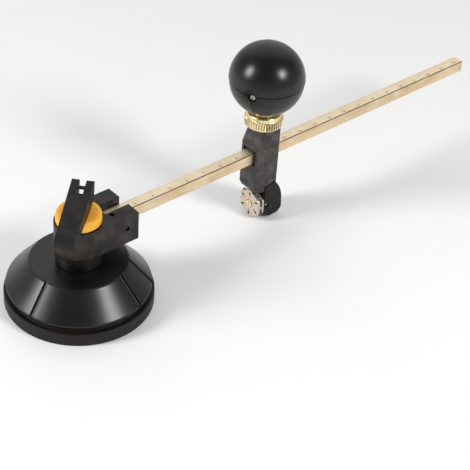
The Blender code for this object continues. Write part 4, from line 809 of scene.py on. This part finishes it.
# Pale gold that mirrors its dark surroundings. Its turning marks are drawn coarse enough to show.
turned_brass, tree = blank("polished_turned_brass")
spot = add(tree, "ShaderNodeTexCoord")
fine = add(tree, "ShaderNodeMapping", {"Scale": (1 / 0.002, 1 / 0.002, 1 / 0.00015)},
           {0: spot.outputs["Object"]})
marks = add(tree, "ShaderNodeTexNoise", {"Scale": 1.0, "Detail": 3.0}, {"Vector": fine.outputs[0]})
tone = add(tree, "ShaderNodeValToRGB", {"stops": [(0.3, "EDD89E"), (0.7, "FAECC4")]}, {0: marks.outputs[0]})
shine = add(tree, "ShaderNodeMapRange", {"To Min": 0.22, "To Max": 0.36}, {0: marks.outputs[0]})
skin = add(tree, "ShaderNodeBsdfPrincipled", {"Metallic": 1.0},
           {"Base Color": tone.outputs[0], "Roughness": shine.outputs[0]})
add(tree, "ShaderNodeOutputMaterial", None, {0: skin.outputs[0]})

clamp = turned("clamp_screw_turned", [
    (0, 0.05355, 0), (0.00215, 0.05355, 0), (0.00215, 0.05955, 0), (0.0066, 0.05955, 0.0003),
    (0.0073, 0.05985, 0.0002), (0.0083, 0.05985, 0.0007), (0.0083, 0.0580, 0.0003),
    (0.0087, 0.0577, 0), (0.0087, 0.0535, 0), (0.0084, 0.05315, 0.0002), (0.0029, 0.05315, 0),
    (0.0029, 0.04185, 0.0003), (0, 0.04185, 0)], turned_brass, AT_KNOB)
shade(clamp)
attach(clamp, "clamp")
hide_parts("clamp_screw")

shape = bmesh.new()
hoops = []
for up, root, crest in ((0.05355, 0.00855, 0.00860), (0.05385, 0.00890, 0.00930),
                        (0.05415, 0.00890, 0.00940), (0.05715, 0.00890, 0.00940),
                        (0.05755, 0.00885, 0.00925), (0.05785, 0.00855, 0.00870)):
    hoop = []
    for i in range(POINTS_ROUND):
        turn = math.tau * i / POINTS_ROUND
        radius = (root, (root + crest) / 2, crest, (root + crest) / 2)[i % 4]
        hoop.append(shape.verts.new((radius * math.cos(turn), radius * math.sin(turn), up)))
    hoops.append(hoop)
for first, second in zip(hoops, hoops[1:]):
    for i in range(POINTS_ROUND):
        following = (i + 1) % POINTS_ROUND
        side = shape.faces.new((first[i], first[following], second[following], second[i]))
        # Painted shade: the roots of the knurl's middle rows take the dark brass finish.
        side.material_index = 1 if i % 4 == 0 and first in hoops[2:4] else 0
shape.faces.new(hoops[0][::-1])
shape.faces.new(hoops[-1])
knurl = piece("clamp_knurled_band", shape, turned_brass, AT_KNOB)
knurl.data.materials.append(print_and_painted_shade)
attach(knurl, "clamp")

washer = turned("knob_brass_washer", [
    (0.00215, 0.06085, 0), (0.0065, 0.06085, 0.0002), (0.0065, 0.06015, 0.0002), (0.00215, 0.06015, 0)],
    turned_brass, AT_KNOB)
shade(washer)
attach(washer, "clamp")
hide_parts("knob_washer")

head = turned("turret_slot_screw", [
    (0, -0.00225, 0), (0, 0.00885, 0), (0.0012, 0.00885, 0.0003), (0.0012, -0.00135, 0),
    (0.0019, -0.00135, 0), (0.0019, -0.00225, 0.0003)], turned_brass, AT_WHEELS @ ALONG_BAR, 48)
driver = slab("screwdriver_slot", [
    (-0.0026, -0.0003, 0), (0.0026, -0.0003, 0), (0.0026, 0.0003, 0), (-0.0026, 0.0003, 0)],
    -0.0030, -0.00185, turned_brass, AT_WHEELS @ ALONG_BAR)
combine(head, "DIFFERENCE", driver)
shade(head)
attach(head, "carriage")
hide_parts("turret_screw")


# Ball knob: two glossy black mouldings that meet at the middle and turn on a hidden spindle. A countersunk
# recess with its screw sits just under the joint line, and a moulding seam runs down from it.
BALL = 0.0179
LOWER_BALL = BALL - 0.00025
BALL_MIDDLE = 0.07762
HALF_GAP = 0.00008  # from the ball's middle to each half, where they meet
RECESS = BALL_MIDDLE - 0.0015
TOWARDS_VIEW = Matrix.Rotation(math.radians(-154.6), 4, "Z")
AT_KNOB_SCREW = Matrix.Translation((KNOB_AXIS, 0, RECESS)) @ TOWARDS_VIEW @ ALONG_BAR


def ball_run(radius, low, high, steps):
    """Corners down the ball's outside between two heights."""
    first = math.asin(min((high - BALL_MIDDLE) / radius, 1))
    last = math.asin(max((low - BALL_MIDDLE) / radius, -1))
    run = []
    for i in range(steps + 1):
        turn = first + (last - first) * i / steps
        run.append((max(radius * math.cos(turn), 0), BALL_MIDDLE + radius * math.sin(turn), 0))
    return run


polished, tree = blank("polished_phenolic_ball")  # deep black with a soft gloss and the faintest ripple
spot = add(tree, "ShaderNodeTexCoord")
haze = add(tree, "ShaderNodeTexNoise", {"Scale": 1 / 0.008, "Detail": 4.0},
           {"Vector": spot.outputs["Object"]})
tone = add(tree, "ShaderNodeValToRGB", {"stops": [(0.35, "080707"), (0.70, "0E0C0C")]}, {0: haze.outputs[0]})
shine = add(tree, "ShaderNodeMapRange", {"To Min": 0.23, "To Max": 0.34}, {0: haze.outputs[0]})
ripple = add(tree, "ShaderNodeBump", {"Strength": 0.06, "Distance": 0.0001}, {"Height": haze.outputs[0]})
skin = add(tree, "ShaderNodeBsdfPrincipled", {"IOR": 1.48},
           {"Base Color": tone.outputs[0], "Roughness": shine.outputs[0], "Normal": ripple.outputs[0]})
add(tree, "ShaderNodeOutputMaterial", None, {0: skin.outputs[0]})


def countersink(name):
    """The recess round the knob's screw, as a cutting tool."""
    return turned(name, [(0, 0.0122, 0), (0, 0.0200, 0), (0.0034, 0.0200, 0), (0.0016, 0.0166, 0),
                         (0.0014, 0.0122, 0)], blued, AT_KNOB_SCREW, 40)


lower = turned("ball_knob_lower", [
    (0.0043, BALL_MIDDLE - HALF_GAP, 0), (0.0170, BALL_MIDDLE - HALF_GAP, 0),
    *ball_run(LOWER_BALL, 0.06115, BALL_MIDDLE - 0.0003, 36), (0.0023, 0.06115, 0), (0.0023, 0.0747, 0),
    (0.0043, 0.0747, 0)], polished, AT_KNOB, 128)
seam = slab("seam_line", [(0.0060, -0.00028, 0), (0.0200, -0.00028, 0), (0.0200, 0.00028, 0),
                          (0.0060, 0.00028, 0)], 0.0600, 0.0757, polished, AT_KNOB @ TOWARDS_VIEW)
core = turned("seam_core", [
    (0, 0.0500, 0), (0, 0.0900, 0), *ball_run(LOWER_BALL - 0.0003, 0.0600, 0.0900, 40)],
    polished, AT_KNOB, 128)
combine(seam, "DIFFERENCE", core)
combine(lower, "DIFFERENCE", seam, countersink("recess_below_joint"))
shade(lower)
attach(lower, "knob")
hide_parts("knob_lower")

upper_half = turned("ball_knob_upper", [
    *ball_run(BALL, BALL_MIDDLE + 0.0003, BALL_MIDDLE + BALL, 44), (0.0170, BALL_MIDDLE + HALF_GAP, 0),
    (0, BALL_MIDDLE + HALF_GAP, 0)], polished, AT_KNOB, 128)
combine(upper_half, "DIFFERENCE", countersink("recess_above_joint"))
shade(upper_half)
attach(upper_half, "knob")
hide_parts("knob_upper")

knob_screw = turned("knob_recess_screw", [
    (0, 0.0124, 0), (0, 0.0158, 0), (0.0005, 0.0158, 0), (0.0005, 0.0167, 0), (0.0015, 0.0166, 0.0007),
    (0.0015, 0.0157, 0), (0.0012, 0.0155, 0), (0.0012, 0.0124, 0)], plated, AT_KNOB_SCREW, 32)
shade(knob_screw)
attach(knob_screw, "knob")
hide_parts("knob_screw")
